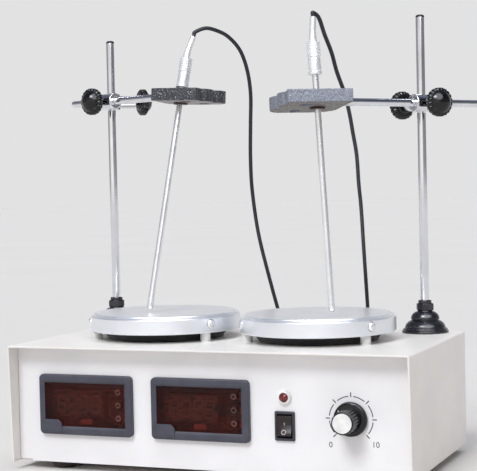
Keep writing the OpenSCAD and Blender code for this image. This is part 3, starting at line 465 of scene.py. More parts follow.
def glossy(name, colour, roughness, shine=0.32):
    """Glossy moulded resin with faint flow marks and fine scuffs."""
    mat = plain(name, colour, roughness, Specular_IOR_Level=shine)
    clouded(mat, colour, 7, 4, 0.8, 1.35)
    rough(mat, (2.5, 5), roughness - 0.05, roughness + 0.1)
    bump(mat, noise(mat, 3.5, 2), 0.02)
    return mat


def plated(name, colour, roughness, draw=(1, 1, 1), heading=0.0, metallic=1.0, grain=0.0002):
    """Bright plating with cloudy patches, and faint marks that draw can stretch into lines along a bar."""
    mat = plain(name, colour, roughness, metallic)
    clouded(mat, colour, 14, 4, 0.93, 1.03)
    rough(mat, (1.6, 3, draw, heading), roughness, roughness + 0.03)
    if grain:
        bump(mat, noise(mat, 1.4, 1, draw, heading), grain)
    return mat


def turned(name, colour, centre):
    """A turned aluminium plate: rings on its face and fine lines round its rim."""
    mat = plain(name, colour, 0.32, 0.75)
    clouded(mat, colour, 30, 3, 0.96, 1.02)
    rough(mat, (9, 3, (0.5, 0.5, 3)), 0.29, 0.36)
    bump(mat, waves(mat, "RINGS", 0.9, centre, 0.4), 0.004)
    bump(mat, waves(mat, "BANDS", 0.7, centre, 0.6), 0.004)
    return mat


def below(tree, start, end):
    """1 where the skin faces down, 0 where it doesn't."""
    split = add_node(tree, "SeparateXYZ", Vector=add_node(tree, "NewGeometry").outputs["Normal"])
    return mapped(tree, split.outputs["Z"], From_Min=start, From_Max=end)


def cast(name, colour, underside_shading, chips, dark=0.6, pale=1.35):
    """Sand-cast iron under thin paint: grainy, pitted, with pale chips, and painted light and shade on the
    underside, where the skin faces down.
    """
    mat = plain(name, colour, 0.45, 0.25)
    tree = mat.node_tree
    speck = noise(mat, 0.9, 5)
    coat = ((0.38, lighter(colour, dark)), (0.6, lighter(colour, pale)), (0.68, chips))
    paint = ramp_colour(tree, speck, coat)
    # Painted light and shade: a lighter underside colour is a painted sheen, a darker one is painted shade
    painted_underside = ramp_colour(tree, speck, ((0.36, lighter(underside_shading, 0.8)), (0.66, lighter(underside_shading, 1.15))))
    fill(principled(mat), Base_Color=mixed(tree, "MIX", below(tree, -0.6, -0.85), paint, painted_underside))
    rough(mat, (2.2, 4), 0.3, 0.6)
    bump(mat, noise(mat, 1.3, 5), 0.12)
    bump(mat, noise(mat, 0.5, 3), 0.05)
    return mat


def rubber(name, colour, roughness=0.6):
    mat = plain(name, colour, roughness, Sheen_Weight=0.15)
    clouded(mat, colour, 4, 4, 0.75, 1.3)
    rough(mat, (2, 3), roughness - 0.1, roughness + 0.12)
    bump(mat, noise(mat, 0.6, 3), 0.03)
    return mat


def smoked_window(name):
    """Smoked red acrylic, partly clear, with a polished face and faint streaks in it."""
    mat = plain(name, srgb(40, 13, 12), 0.1, Alpha=0.38, Specular_IOR_Level=0.25)
    tint(mat, noise(mat, 13, 5, (0.35, 1, 1)), srgb(22, 8, 8), srgb(74, 24, 18), 0.3, 0.7)
    rough(mat, (6, 4), 0.07, 0.16)
    bump(mat, noise(mat, 25, 2), 0.03)
    return mat


def clear_lens(name):
    mat = plain(name, srgb(104, 8, 16), 0.1, Coat_Weight=0.4, Coat_Roughness=0.04)
    tint(mat, noise(mat, 1.4, 3), srgb(70, 4, 10), srgb(134, 14, 24))
    rough(mat, (1.0, 2), 0.08, 0.18)
    bump(mat, noise(mat, 1.2, 2), 0.02)
    return mat


def board(name, low, high):
    """A printed board: dark lacquer over copper lines."""
    mat = plain(name, low, 0.45, Specular_IOR_Level=0.3)
    tint(mat, noise(mat, 1.3, 2, (0.3, 1, 1)), low, high, 0.44, 0.56)
    rough(mat, (2, 3), 0.3, 0.5)
    bump(mat, noise(mat, 1.3, 1, (0.3, 1, 1)), 0.03)
    return mat


def ink(name, colour):
    """Screen-printed ink, a little uneven."""
    mat = plain(name, colour, 0.6, Specular_IOR_Level=0.3)
    clouded(mat, colour, 1.2, 3, 0.85, 1.25)
    bump(mat, noise(mat, 0.3, 2), 0.01)
    return mat


DRAWN = (1, 1, 0.03)
# Finishes by slot. The frame's own materials have these names, so that a number may follow them here
FINISH = {mat.name.split(".")[0]: mat for mat in (
    painted("ivory_paint", srgb(234, 230, 225), 0.42),
    painted("front_paint", srgb(238, 236, 237), 0.45),
    rubber("black_rubber", srgb(34, 18, 22)),
    plated("zinc_screw", srgb(176, 178, 180), 0.3),
    moulded("slate_plastic", srgb(64, 65, 76), 0.46, 0.02),
    smoked_window("red_window"),
    board("board_green", srgb(22, 58, 34), srgb(46, 96, 58)),
    moulded("white_plastic", srgb(236, 235, 232), 0.32, 0.006),
    clear_lens("red_lens"),
    moulded("switch_grey", srgb(46, 49, 58), 0.4, 0.012),
    moulded("rocker_brown", srgb(30, 20, 19), 0.34, 0.01),
    glossy("black_gloss", srgb(13, 13, 16), 0.13, 0.45),
    plated("bright_steel", srgb(242, 243, 245), 0.24, DRAWN, metallic=0.8, grain=0),
    plated("bright_aluminium", srgb(214, 218, 224), 0.3),
    rubber("black_paint", srgb(14, 14, 16), 0.5),
    moulded("ceramic_white", srgb(226, 227, 225), 0.4, 0.01),
    moulded("copper_yellow", srgb(198, 160, 70), 0.4, 0.03),
    plated("magnet_grey", srgb(120, 122, 128), 0.35),
    plated("chrome_plate", srgb(232, 233, 236), 0.12, DRAWN),
    # Left holder: its third colour is a painted sheen on the underside
    cast("cast_dark", srgb(64, 66, 72), srgb(136, 131, 130), srgb(196, 192, 192)),
    rubber("brown_rubber", srgb(54, 28, 25), 0.5),
    rubber("cable_black", srgb(18, 20, 30), 0.42),
)}
CAST_FINISH = pair(
    FINISH["cast_dark"],
    # Right holder: its third colour is painted shade on the underside
    cast("cast_grey", srgb(127, 131, 142), srgb(106, 100, 97), srgb(164, 166, 174), 0.8, 1.14))
PLATE_FINISH = {
    side: turned(f"turned_plate_{side}", srgb(242, 245, 249), (s * PLATE_X, PLATE_Y, PLATE_Z))
    for side, s in zip(SIDES, (-1, 1))
}
DARK_INK = ink("dark_ink", srgb(62, 62, 70))
WHITE_INK = ink("white_ink", srgb(232, 234, 236))
MARK_INK = ink("mark_ink", srgb(186, 180, 180))
DIGIT_DARK = moulded("digit_dark", srgb(128, 62, 50), 0.45, 0.01)
DIGIT_FACE = moulded("digit_face", srgb(62, 30, 26), 0.45, 0.01)
CHROME_CAST = plated("chrome_cast", srgb(230, 231, 234), 0.1)
CHROME_TURNED = plated("chrome_turned", srgb(248, 249, 250), 0.3, metallic=0.6, grain=0)
CHROME_ARM = {
    side: plated(f"chrome_arm_{side}", srgb(232, 233, 236), 0.12, (0.03, 1, 1), ARM_TURN[side])
    for side in SIDES
}
TRIMMER_RING = moulded("trimmer_ring", srgb(214, 168, 158), 0.35, 0.01)
BOARD_BEHIND_RED = board("board_behind_red", srgb(56, 26, 21), srgb(118, 56, 40))
# Dark for the trimmers' slots, and for the painted shade band at the top of each window
BAND_DARK = moulded("band_dark", srgb(20, 11, 11), 0.5, 0.01)
RESISTOR = moulded("resistor", srgb(186, 62, 44), 0.5, 0.02)
ROD_CAP_DARK = glossy("rod_cap_dark", srgb(36, 38, 48), 0.25)
BELL_GLOSS = glossy("bell_gloss", srgb(24, 24, 29), 0.24, 0.7)


# Mesh making. Points are in millimetres.
def piece_from(name, mesh, finish, body=None, node=None, slot=None):
    """A piece that rides on body and stands for a CAD node. A finish may be given by its slot's name."""
    if isinstance(finish, str):
        slot = finish
        finish = FINISH[slot]
    obj = add_object(name, mesh)
    mesh.materials.clear()
    mesh.materials.append(finish)
    if body:
        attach(obj, body)
    if node:
        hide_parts(node)
    return obj


def smooth_by_angle(mesh, angle):
    mesh.shade_smooth()
    mesh.set_sharp_from_angle(angle=radians(angle))


def mesh_from(name, parts, sharp):
    """One mesh from several lists of points and faces."""
    form = bmesh.new()
    for points, faces in parts:
        corners = [form.verts.new(Vector(p) * MM) for p in points]
        for face in faces:
            if len(set(face)) > 2:
                form.faces.new([corners[i] for i in face])
    bmesh.ops.recalc_face_normals(form, faces=form.faces)
    mesh = bpy.data.meshes.new(name)
    form.to_mesh(mesh)
    form.free()
    smooth_by_angle(mesh, sharp)
    return mesh


def build(name, parts, finish, body, node=None, sharp=38, slot=None):
    piece_from(name, mesh_from(name, parts, sharp), finish, body, node, slot)


def soften(profile, radius, steps=3, closed=False):
    """A profile whose corners are rounded, each by as much as its sides allow."""
    count = len(profile)
    out = []
    for i, corner in enumerate(profile):
        if not closed and i in (0, count - 1):
            out.append(tuple(corner))
            continue
        here = Vector(corner)
        back = Vector(profile[i - 1]) - here
        on = Vector(profile[(i + 1) % count]) - here
        if back.length < 1e-6 or on.length < 1e-6:
            continue
        inset = min(radius, 0.45 * back.length, 0.45 * on.length)
        start, end = here + back.normalized() * inset, here + on.normalized() * inset
        for k in range(steps + 1):
            t = k / steps
            out.append(tuple(start * (1 - t) ** 2 + here * 2 * t * (1 - t) + end * t * t))
    return out


def stitch(rows):
    """Faces between rows of point numbers, of which a row of one is a tip."""
    sides = max(len(row) for row in rows)
    faces = []
    for low, high in zip(rows, rows[1:]):
        for k in range(sides):
            j = (k + 1) % sides
            ring = [low[k % len(low)], low[j % len(low)], high[j % len(high)], high[k % len(high)]]
            faces.append(list(dict.fromkeys(ring)))
    return faces


def lathe(profile, place=Matrix(), sides=72, swell=None, closed=False):
    """A turned form from (radius, height) pairs; swell(angle, radius, height) changes a radius."""
    points, rows = [], []
    for radius, height in profile:
        if radius < 1e-5:
            rows.append([len(points)])
            points.append(place @ Vector((0, 0, height)))
            continue
        rows.append(range(len(points), len(points) + sides))
        for k in range(sides):
            angle = tau * k / sides
            r = radius + (swell(angle, radius, height) if swell else 0)
            points.append(place @ Vector((r * cos(angle), r * sin(angle), height)))
    return points, stitch(rows + rows[:1] if closed else rows)


def washer(profile, soft, place, sides, steps=3):
    """A turned form with a hole, its corners softened."""
    return lathe(soften(profile, soft, steps, True), place, sides, closed=True)


def spindle(profile, soft, place, sides, steps=3):
    """A turned form without a hole, its corners softened."""
    return lathe(soften(profile, soft, steps), place, sides)


def oblong(inner, outer, low, high):
    """The profile of a plain disc, or of a ring when inner isn't 0."""
    return [(inner, low), (outer, low), (outer, high), (inner, high)]


def arc(cx, cy, radius, start, end, steps=6):
    """Points of an arc round (cx, cy), from start to end in degrees."""
    angles = [radians(start + (end - start) * k / steps) for k in range(steps + 1)]
    return [(cx + radius * cos(a), cy + radius * sin(a)) for a in angles]


def rounded_loop(w, h, r, z, cx=0.0, cy=0.0):
    """A loop of points round a rectangle with round corners, at height z."""
    r = max(r, 0.02)
    loop = []
    for sx, sy, start in ((1, 1, 0), (-1, 1, 90), (-1, -1, 180), (1, -1, 270)):
        corner = arc(cx + sx * (w / 2 - r), cy + sy * (h / 2 - r), r, start, start + 90, 5)
        loop += [(x, y, z) for x, y in corner]
    return loop


def loft(loops, place=Matrix(), caps=True):
    """A form through loops of equal count, its ends open without caps."""
    count = len(loops[0])
    points = [place @ Vector(p) for loop in loops for p in loop]
    rows = [range(start, start + count) for start in range(0, len(points), count)]
    faces = stitch(rows)
    if caps:
        faces += [rows[0][::-1], rows[-1]]
    return points, faces


def rounded_rim(w, h, r, z, soft, steps, cx=0.0, cy=0.0):
    """Loops that start at height z and go up round a softened edge."""
    loops = [rounded_loop(w, h, r, z, cx, cy)]
    for k in range(1, steps + 1):
        a = radians(90 / steps * k)
        inset = soft * (1 - cos(a))
        rise = soft * sin(a)
        loops.append(rounded_loop(w - 2 * inset, h - 2 * inset, r - inset, z + rise, cx, cy))
    return loops


def slab(w, h, r, base, top, soft, place=Matrix(), cx=0.0, cy=0.0):
    """A rounded rectangle from base to top, with a softened top edge."""
    rim = rounded_rim(w, h, r, top - soft, soft, 3, cx, cy)
    return loft([rounded_loop(w, h, r, base, cx, cy), *rim], place)


def bar(start, end, width, z, thick, place):
    """A thin straight bar between two points."""
    start, end = Vector(start), Vector(end)
    way = (end - start).normalized()
    side = Vector((-way.y, way.x)) * width / 2
    corners = [start - side, end - side, end + side, start + side]
    return loft([[(c.x, c.y, h) for c in corners] for h in (z, z + thick)], place)


def rings_along(centres, radii, sides):
    """Rings for a tube through centres, carried along without twist."""
    last = len(centres) - 1
    angles = [tau * k / sides for k in range(sides)]
    up = Vector((1, 0, 0))
    rings = []
    for i, (centre, radius) in enumerate(zip(centres, radii)):
        way = (centres[min(i + 1, last)] - centres[max(i - 1, 0)]).normalized()
        up = (up - way * up.dot(way)).normalized()
        other = way.cross(up)
        rings.append([centre + radius * (up * cos(a) + other * sin(a)) for a in angles])
    return rings


# Points this near become one, and edges flatter than this go, before a solid's edges are rounded
SAME_POINT = 2e-6
FLAT_ANGLE = radians(0.6)


def refined(node, finish, width, slot=None, angle=32):
    """A copy of one of the case's CAD solids with its sharp edges rounded."""
    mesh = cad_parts[node].data.copy()
    form = bmesh.new()
    form.from_mesh(mesh)
    bmesh.ops.remove_doubles(form, verts=form.verts, dist=SAME_POINT)
    bmesh.ops.dissolve_limit(form, angle_limit=FLAT_ANGLE, verts=form.verts, edges=form.edges)
    form.to_mesh(mesh)
    form.free()
    if mesh.attributes.get("custom_normal"):
        mesh.attributes.remove(mesh.attributes["custom_normal"])
    smooth_by_angle(mesh, angle)
    obj = piece_from(f"{node}_dressed", mesh, finish, "case", node, slot)
    edge = obj.modifiers.new("rounded_edges", "BEVEL")
    edge.width = width * MM
    edge.segments = 2
    edge.limit_method = "ANGLE"
    edge.angle_limit = radians(angle)
    edge.use_clamp_overlap = False
    edge.harden_normals = True


def remeshed(node, finish, voxel, soften_steps, body, slot, roughen):
    """A copy of a CAD solid as a casting has it: fillets everywhere, and a skin that roughen moves."""
    obj = add_object(f"{node}_cast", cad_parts[node].data.copy())
    grid = obj.modifiers.new("grid", "REMESH")
    grid.mode = "VOXEL"
    grid.voxel_size = voxel * MM
    even = obj.modifiers.new("even", "SMOOTH")
    even.factor = 0.5
    even.iterations = soften_steps
    depsgraph = bpy.context.evaluated_depsgraph_get()
    made = bpy.data.meshes.new_from_object(obj.evaluated_get(depsgraph))
    bpy.data.objects.remove(obj)
    moved = [v.co + v.normal * roughen(v.co) for v in made.vertices]
    for vertex, place in zip(made.vertices, moved):
        vertex.co = place
    made.shade_smooth()
    piece_from(f"{node}_cast", made, finish, body, node, slot)


# Cables
def spline_point(a, b, c, d, t):
    square = (2 * a - 5 * b + 4 * c - d) * t * t
    cube = (3 * b - a - 3 * c + d) * t ** 3
    return 0.5 * (2 * b + (c - a) * t + square + cube)


def whole_route(side):
    end, way = tail_line(side)
    x = SOCKET_XS[SIDES.index(side)]
    first = [end + way * TAIL_LEAD[side] * share for share in (0, 0.5, 1)]
    last = [Vector((x, PLUG_TAIL_Y + d, SOCKET_Z)) for d in (4, 2, 0)]
    return first + [Vector(p) for p in ROUTES[side]] + last


def smooth_route(side):
    """The route's curve, STEPS_PER_SPAN points in each span."""
    r = whole_route(side)
    curve = []
    for k in range(len(r) - 1):
        a, b, c, d = r[max(k - 1, 0)], r[k], r[k + 1], r[min(k + 2, len(r) - 1)]
        curve += [spline_point(a, b, c, d, s / STEPS_PER_SPAN) for s in range(STEPS_PER_SPAN)]
    return curve + [r[-1]]


def make_cables():
    """Four stretches a side, each a tube along its share of the cable's route."""
    for side in SIDES:
        curve = smooth_route(side)
        rings = rings_along(curve, [CABLE_R] * len(curve), CABLE_SIDES)
        ends = [round(e * STEPS_PER_SPAN) for e in STRETCH_ENDS[side]]
        for n, (first, last) in enumerate(zip(ends, ends[1:])):
            name = f"cable_{side}_{n + 1}"
            mesh = mesh_from(f"{name}_sheath", [loft(rings[first:last + 1])], 60)
            obj = piece_from(f"{name}_sheath", mesh, "cable_black", node=name)
            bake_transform(obj)


make_cables()


# Every CAD node takes its slot's finish, and the boards one that looks right behind the red windows
def dress_nodes():
    for name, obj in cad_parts.items():
        for slot in obj.material_slots:
            slot.material = FINISH[slot.material.name.split(".")[0]]
    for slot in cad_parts["meter_boards"].material_slots:
        slot.material = BOARD_BEHIND_RED


dress_nodes()


# Case
def bent_sheet(path, rows):
    """A folded sheet along path, in X and Z. A row is a thickness and a rule that gives y for a height."""
    count = len(path)
    line = []
    for i, (x, z) in enumerate(path):
        (x0, z0), (x1, z1) = path[max(i - 1, 0)], path[min(i + 1, count - 1)]
        way = Vector((x1 - x0, z1 - z0)).normalized()
        line.append((x, z, -way.y, way.x))
    loops = []
    for thick, y_at in rows:
        one = [(x + a * thick * 0.5, z + b * thick * 0.5) for x, z, a, b in line]
        other = [(x - a * thick * 0.5, z - b * thick * 0.5) for x, z, a, b in reversed(line)]
        loops.append([(x, y_at(z), z) for x, z in one + other])
    points, faces = loft(loops, caps=False)
    for base in (0, len(points) - 2 * count):
        last = base + 2 * count - 1
        faces += [[base + k, base + k + 1, last - k - 1, last - k] for k in range(count - 1)]
    return points, faces


def make_cover():
    """One bent sheet over the case, its front edges slanted back, with flanges under the chassis."""
    wall = CASE_W / 2 - SHEET / 2
    roof = CASE_TOP - SHEET / 2
    low = CASE_BASE + SHEET / 2
    bend = COVER_R - SHEET / 2
    inner = CASE_W / 2 - SHEET - FLANGE_W
    over = arc(-wall + bend, roof - bend, bend, 180, 90) + arc(wall - bend, roof - bend, bend, 90, 0)
    short = [(-wall, CASE_BASE)] + over + [(wall, CASE_BASE)]
    full = [(-inner, low)] + arc(-wall + bend, low + bend, bend, 270, 180) + over
    full += arc(wall - bend, low + bend, bend, 0, -90) + [(inner, low)]

    def end_at(y, slant=0.0):
        return lambda z: y + (CASE_TOP - z) * slant / (CASE_TOP - CASE_BASE)

    edge = ((0.55, 0.0), (0.82, 0.1), (0.96, 0.3), (1.0, 0.6))
    middle = [(SHEET, end_at(FLANGE_Y))]
    lip = [(SHEET * share, end_at(-BACK_Y + inset, SIDE_SLANT)) for share, inset in edge] + middle
    rear = middle + [(SHEET * share, end_at(BACK_Y - inset)) for share, inset in reversed(edge)]
    build("cover_bent", [bent_sheet(short, lip), bent_sheet(full, rear)], "ivory_paint", "case",
          "case_cover", 34)


def make_feet():
    foot = [
        (4.5, 0), (FOOT_R - 4, 0), (FOOT_R - 3, 1), (FOOT_R, FLOOR_Z - 1.2), (FOOT_R, FLOOR_Z),
        (2.1, FLOOR_Z), (2.1, 4), (4.5, 4)]
    parts = [washer(foot, 0.6, shift(x, y, 0), 64) for x in (-FOOT_X, FOOT_X) for y in FOOT_YS]
    build("feet_moulded", parts, "black_rubber", "case", "rubber_feet")


def dial_arc(start, end, place, steps=16):
    """A stretch of the dial's printed arc, from start to end in degrees."""
    line = oblong(DIAL_R - DIAL_LINE / 2, DIAL_R + DIAL_LINE / 2, 0, INK_T)
    loops = []
    for k in range(steps + 1):
        a = radians(start + (end - start) * k / steps)
        loops.append([(r * cos(a), r * sin(a), h) for r, h in line])
    return loft(loops, place)


def make_dial():
    """The printed scale: an arc broken at its ticks, with a plain number at each end."""
    place = facing_front(KNOB_X, PANEL_Y, KNOB_Z)
    parts = []
    for k in range(TICKS):
        a = TICK_START - TICK_STEP * k
        way = Vector((cos(radians(a)), sin(radians(a))))
        parts.append(bar(TICK_ENDS[0] * way, TICK_ENDS[1] * way, TICK_W, 0, INK_T, place))
        if k < TICKS - 1:
            parts.append(dial_arc(a - TICK_GAP, a + TICK_GAP - TICK_STEP, place))
    build("dial_print", parts, DARK_INK, "case")
    for name, digits, x, z in DIAL_NUMBERS:
        data = bpy.data.curves.new(name, "FONT")
        data.body = digits
        data.size = NUMBER_H * MM
        data.extrude = NUMBER_T * MM
        data.align_x = "CENTER"
        data.align_y = "CENTER"
        data.materials.append(DARK_INK)
        number = add_object(name, data)
        number.matrix_world = facing_front(x * MM, (PANEL_Y - NUMBER_T) * MM, z * MM)
        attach(number, "case")


make_cover()
make_feet()
make_dial()


# Meters
def meter_loops():
    """From the closed back, over the bezel and its chamfered opening, to the inside of the back wall."""
    floor = METER_PROUD - WINDOW_SUNK - WINDOW_T
    loops = [rounded_loop(*row) for row in (
        (BODY_W, BODY_H, 0.6, -BODY_DEPTH), (BODY_W, BODY_H, 0.6, 0), (METER_W, METER_H, METER_R, 0))]
    loops += rounded_rim(METER_W, METER_H, METER_R, METER_PROUD - METER_EDGE, METER_EDGE, 4)
    for grow, radius, z in (
            (3.4, 1.0, METER_PROUD), (2.8, 0.8, METER_PROUD - 0.25), (2.2, 0.6, METER_PROUD - 0.25),
            (0, 0.3, METER_PROUD - 0.9), (0, 0.3, floor)):
        loops.append(rounded_loop(WINDOW_W + grow, WINDOW_H + grow, radius, z, WINDOW_DX, WINDOW_DZ))
    for z in (floor, -BODY_DEPTH + METER_WALL):
        loops.append(rounded_loop(BODY_W - 4, BODY_H - 4, 0.3, z))
    return loops


def cut_tab(left, low, place):
    """The raised tab at the window's lower left, its upper right corner cut off."""
    right, top = left + TAB_W, low + TAB_H
    outline = [(left, low), (right, low), (right, top - TAB_CUT), (right - TAB_CUT, top), (left, top)]
    middle = Vector((left + TAB_W / 2, low + TAB_H / 2))
    loops = []
    for rise, inset in ((-0.7, 0), (0.3, 0), (0.5, 0.12), (0.6, 0.4)):
        corners = [middle + (Vector(p) - middle) * (1 - inset / TAB_H * 2) for p in outline]
        loops.append([(x, y, METER_PROUD + rise) for x, y in soften(corners, 0.9, 3, True)])
    return loft(loops, place)


def make_meter(side):
    place = facing_front(METER_XS[side], PANEL_Y, METER_Z)
    tab = cut_tab(WINDOW_DX - WINDOW_W / 2 - 1.4, -WINDOW_H / 2 - 4.6, place)
    strip = slab(BODY_W - 27, 9, 0.4, -BODY_DEPTH - 5, -BODY_DEPTH, 0.3, place, 0, -9.5)
    build(f"meter_bezel_{side}", [loft(meter_loops(), place), tab, strip], "slate_plastic", "case",
          f"meter_case_{side}", 30)


def seven_bars(middle, place):
    """The seven unlit bars of one digit."""
    half, wide = DIGIT_H / 2, DIGIT_H * 0.28
    spans = [((-wide, k * half), (wide, k * half)) for k in (-1, 0, 1)]
    spans += [((s * wide, k * half), (s * wide, 0)) for s in (-1, 1) for k in (-1, 1)]
    parts = []
    for start, end in spans:
        gap = (Vector(end) - Vector(start)).normalized() * DIGIT_H * 0.05
        ends = [(middle + p.x + DIGIT_LEAN * p.y, p.y) for p in (Vector(start) + gap, Vector(end) - gap)]
        parts.append(bar(*ends, DIGIT_H * 0.1, DIGIT_FACE_Z, 0.15, place))
    return parts


def make_trimmer(middle, place):
    """A trimmer's ring, its slot and the small part beside it."""
    x, y = middle
    body = [(0, -2.4), (0.9, -2.4), (1.1, -1.6), (0.8, 0), (0.8, 1.2), (1.1, 2.8), (0.9, 3.6), (0, 3.6)]
    lie = place @ shift(x + 5.2, y - 0.5, -3.4) @ turn("X", -90)
    return (
        washer(oblong(1.15, 2.25, -2.4, -1.7), 0.15, place @ shift(x, y, 0), 40),
        bar((x - 0.9, y - 0.5), (x + 0.9, y + 0.5), 0.35, -2.1, 0.2, place),
        spindle(body, 0.3, lie, 24))


def make_meter_inside(side):
    """What shows through the window: the digit module, the trimmers and a few small parts on the board."""
    place = facing_front(METER_XS[side], PANEL_Y, METER_Z)
    face = DIGIT_FACE_Z
    digits = []
    for k in range(4):
        digits += seven_bars(FIRST_DIGIT_X + DIGIT_PITCH * k, place)
    trimmers = [make_trimmer((TRIMMER_DX, TRIMMER_PITCH * i), place) for i in (-1, 0, 1)]
    rings, slots, small = zip(*trimmers)
    module = slab(41.6, 19.6, 0.6, face - 1.2, face - 0.02, 0.3, place, -8, 0)
    chip = slab(9.5, 3.6, 0.6, face - 2.0, face + 0.1, 0.4, place, -2, -13.6)
    # A dark strip across the top inside the window: painted shade, standing for the lip's shadow that the
    # window reflects
    shade_band = slab(WINDOW_W - 6, 3.4, 0.4, face - 2.0, face, 0.3, place, WINDOW_DX, 14.6)
    for name, parts, finish in (
            ("digits", digits, DIGIT_DARK), ("digit_frame", [module], DIGIT_FACE),
            ("trimmer_rings", rings, TRIMMER_RING), ("trimmer_slots", slots, BAND_DARK),
            ("resistors", [*small, chip], RESISTOR), ("painted_shade_band", [shade_band], BAND_DARK)):
        build(f"{name}_{side}", parts, finish, "case")


for _side in SIDES:
    make_meter(_side)
    make_meter_inside(_side)


# Pilot lamp and rocker switch
def make_pilot():
    place = facing_front(SWITCH_X, PANEL_Y, PILOT_Z)
    bezel = [(3.5, -14), (4.0, -16), (4.0, 0), (5.3, 0), (5.3, 1.7), (4.3, 3.0), (3.5, 3.0)]
    ring = washer(bezel, 0.35, place, 64, 4)
    build("pilot_ring", [ring], "white_plastic", "case", "pilot_bezel")
    lens = [(0, -13.9), (3.4, -13.9), (3.4, 2.5), (3.0, 3.2), (1.9, 4.1), (0.9, 4.5), (0, 4.58)]
    build("pilot_jewel", [lathe(lens, place, 10)], "red_lens", "case", "pilot_lens", 8)


def make_switch():
    place = facing_front(SWITCH_X, PANEL_Y, SWITCH_Z)
    loops = [rounded_loop(*row) for row in (
        (*SWITCH_BODY, 0.5, -20), (*SWITCH_BODY, 0.5, 0), (*SWITCH_RIM, 1.0, 0), (*SWITCH_RIM, 1.0, 1.3),
        (15.0, 21.3, 0.95, 1.75), (14.3, 20.6, 0.8, 2.0), (12.4, 18.2, 0.5, 2.0), (11.9, 17.7, 0.4, 1.8),
        (*SWITCH_HOLE, 0.4, 1.2), (*SWITCH_HOLE, 0.4, -13))]
    tabs = [slab(6.3, 0.8, 0.2, -26.5, -19.5, 0.2, place, 0, 6 * i) for i in (-1, 0, 1)]
    build("switch_surround", [loft(loops, place), *tabs], "switch_grey", "case", "switch_frame", 30)


def make_rocker():
    """A rocker with a round back and two flats that meet in a valley, and its marks."""
    tilted = shift(SWITCH_X, PIVOT_Y, SWITCH_Z) @ turn("X", -ROCKER_TILT)
    back = [radians(a) for a in range(0, 181, 12)]
    outline = [(ROCKER_R * cos(a), -ROCKER_R * sin(a) * 0.45) for a in back]
    flat = [(0, ROCKER_VALLEY), (2.7, 4.02), (5.4, 4.62), (6.9, 4.8), (8.4, 1.0)]
    outline += [(-v, u) for v, u in flat[:0:-1]] + flat
    profile = soften(outline, 0.35, 2, True)
    half = ROCKER_W / 2
    rows = []
    for x, inset in ((-half, 0.3), (-half + 0.3, 0), (half - 0.3, 0), (half, 0.3)):
        rows.append([(x, -u * (1 - inset / 8), v * (1 - inset / 8)) for v, u in profile])
    build("rocker_moulded", [loft(rows, tilted)], "rocker_brown", "rocker", "switch_rocker", 30)
    make_rocker_marks(tilted)


def make_rocker_marks(tilted):
    """The generic I above and ring below the middle, printed on the two flats."""
    valley = tilted @ shift(0, -ROCKER_VALLEY, 0) @ turn("X", 90)
    line = bar((0, 0.1), (0, 2.1), 0.45, -0.02, 0.1, valley @ turn("X", ROCKER_FLAT))
    lower = valley @ turn("X", -ROCKER_FLAT) @ shift(0, -5.0, 0)
    ring = washer(oblong(1.3, 1.9, -0.05, 0.12), 0.03, lower, 32, 1)
    build("rocker_marks", [line, ring], MARK_INK, "rocker")


make_pilot()
make_switch()
make_rocker()


# Speed knob
def held(value):
    return min(1.0, max(0.0, value))


def make_knob():
    """A skirted, fluted knob whose barrel narrows to a turned cap, and its pointer line."""
    place = facing_front(KNOB_X, PANEL_Y - 1, KNOB_Z)
    top = KNOB_H - 1
    skirt = soften([
        (SHAFT_HOLE_R, 0), (SKIRT_R - 0.5, 0), (SKIRT_R, 0.6), (SKIRT_R - 0.6, SKIRT_T - 0.6),
        (SKIRT_R - 2.2, SKIRT_T), (BARREL_R - 0.4, SKIRT_T + 0.2)], 0.5, 4)

    def fluted(angle, radius, height):
        wave = max(0.0, cos(FLUTES * angle)) ** 1.5
        fade = held((height - SKIRT_T - 0.6) / 0.8) * held((top - 1.3 - height) / 0.6)
        return -FLUTE_DEPTH * wave * fade

    barrel = [(BARREL_R - 0.2, SKIRT_T + 0.2)]
    for k in range(13):
        h = SKIRT_T + 0.6 + (top - 1.0 - SKIRT_T - 0.6) * k / 12
        share = (h - SKIRT_T) / (top - SKIRT_T)
        barrel.append((BARREL_R + (BARREL_TOP_R - BARREL_R) * share, h))
    rim = soften([
        barrel[-1], (BARREL_TOP_R, top - 0.5), (BARREL_TOP_R - 0.5, top), (CAP_R + 0.1, top),
        (CAP_R + 0.1, top - 1.1), (SHAFT_HOLE_R, top - 1.1)], 0.15, 2)
    form = lathe(skirt + barrel + rim[1:] + [(SHAFT_HOLE_R, 0.2)], place, 288, fluted, True)
    build("knob_body", [form], "black_gloss", "knob", "speed_knob", 34)
    cap = [(0, top - 1.1), (CAP_R, top - 1.1), (CAP_R, top - 0.15), (CAP_R - 0.25, top), (0, top)]
    build("knob_cap_turned", [spindle(cap, 0.1, place, 96, 2)], "white_plastic", "knob", "knob_cap", 34)
    line = (BARREL_R + 0.2, 0), (SKIRT_R - 2.3, 0)
    pointer = bar(*line, 0.9, SKIRT_T + 0.02, 0.06, place @ turn("Z", POINTER))
    build("knob_pointer", [pointer], WHITE_INK, "knob")


make_knob()


# Plates
def make_shield_rims():
    """The leaning outer wall round each black pan, between the plate and the cover."""
    low = CASE_TOP + 0.4
    high = PLATE_Z - 0.1
    rim = [
        (SHIELD_R + 0.05, low + 1), (SHIELD_R + 1, low), (SHIELD_R + 5.2, high - 0.6),
        (SHIELD_R + 5.4, high), (SHIELD_R + 0.05, high)]
    parts = [washer(rim, 0.3, shift(s * PLATE_X, PLATE_Y, 0), 128) for s in (-1, 1)]
    build("shield_rims", parts, "black_paint", "case")


make_shield_rims()
for _side in SIDES:
    refined(f"heater_plate_{_side}", PLATE_FINISH[_side], 0.22, "bright_aluminium", 30)


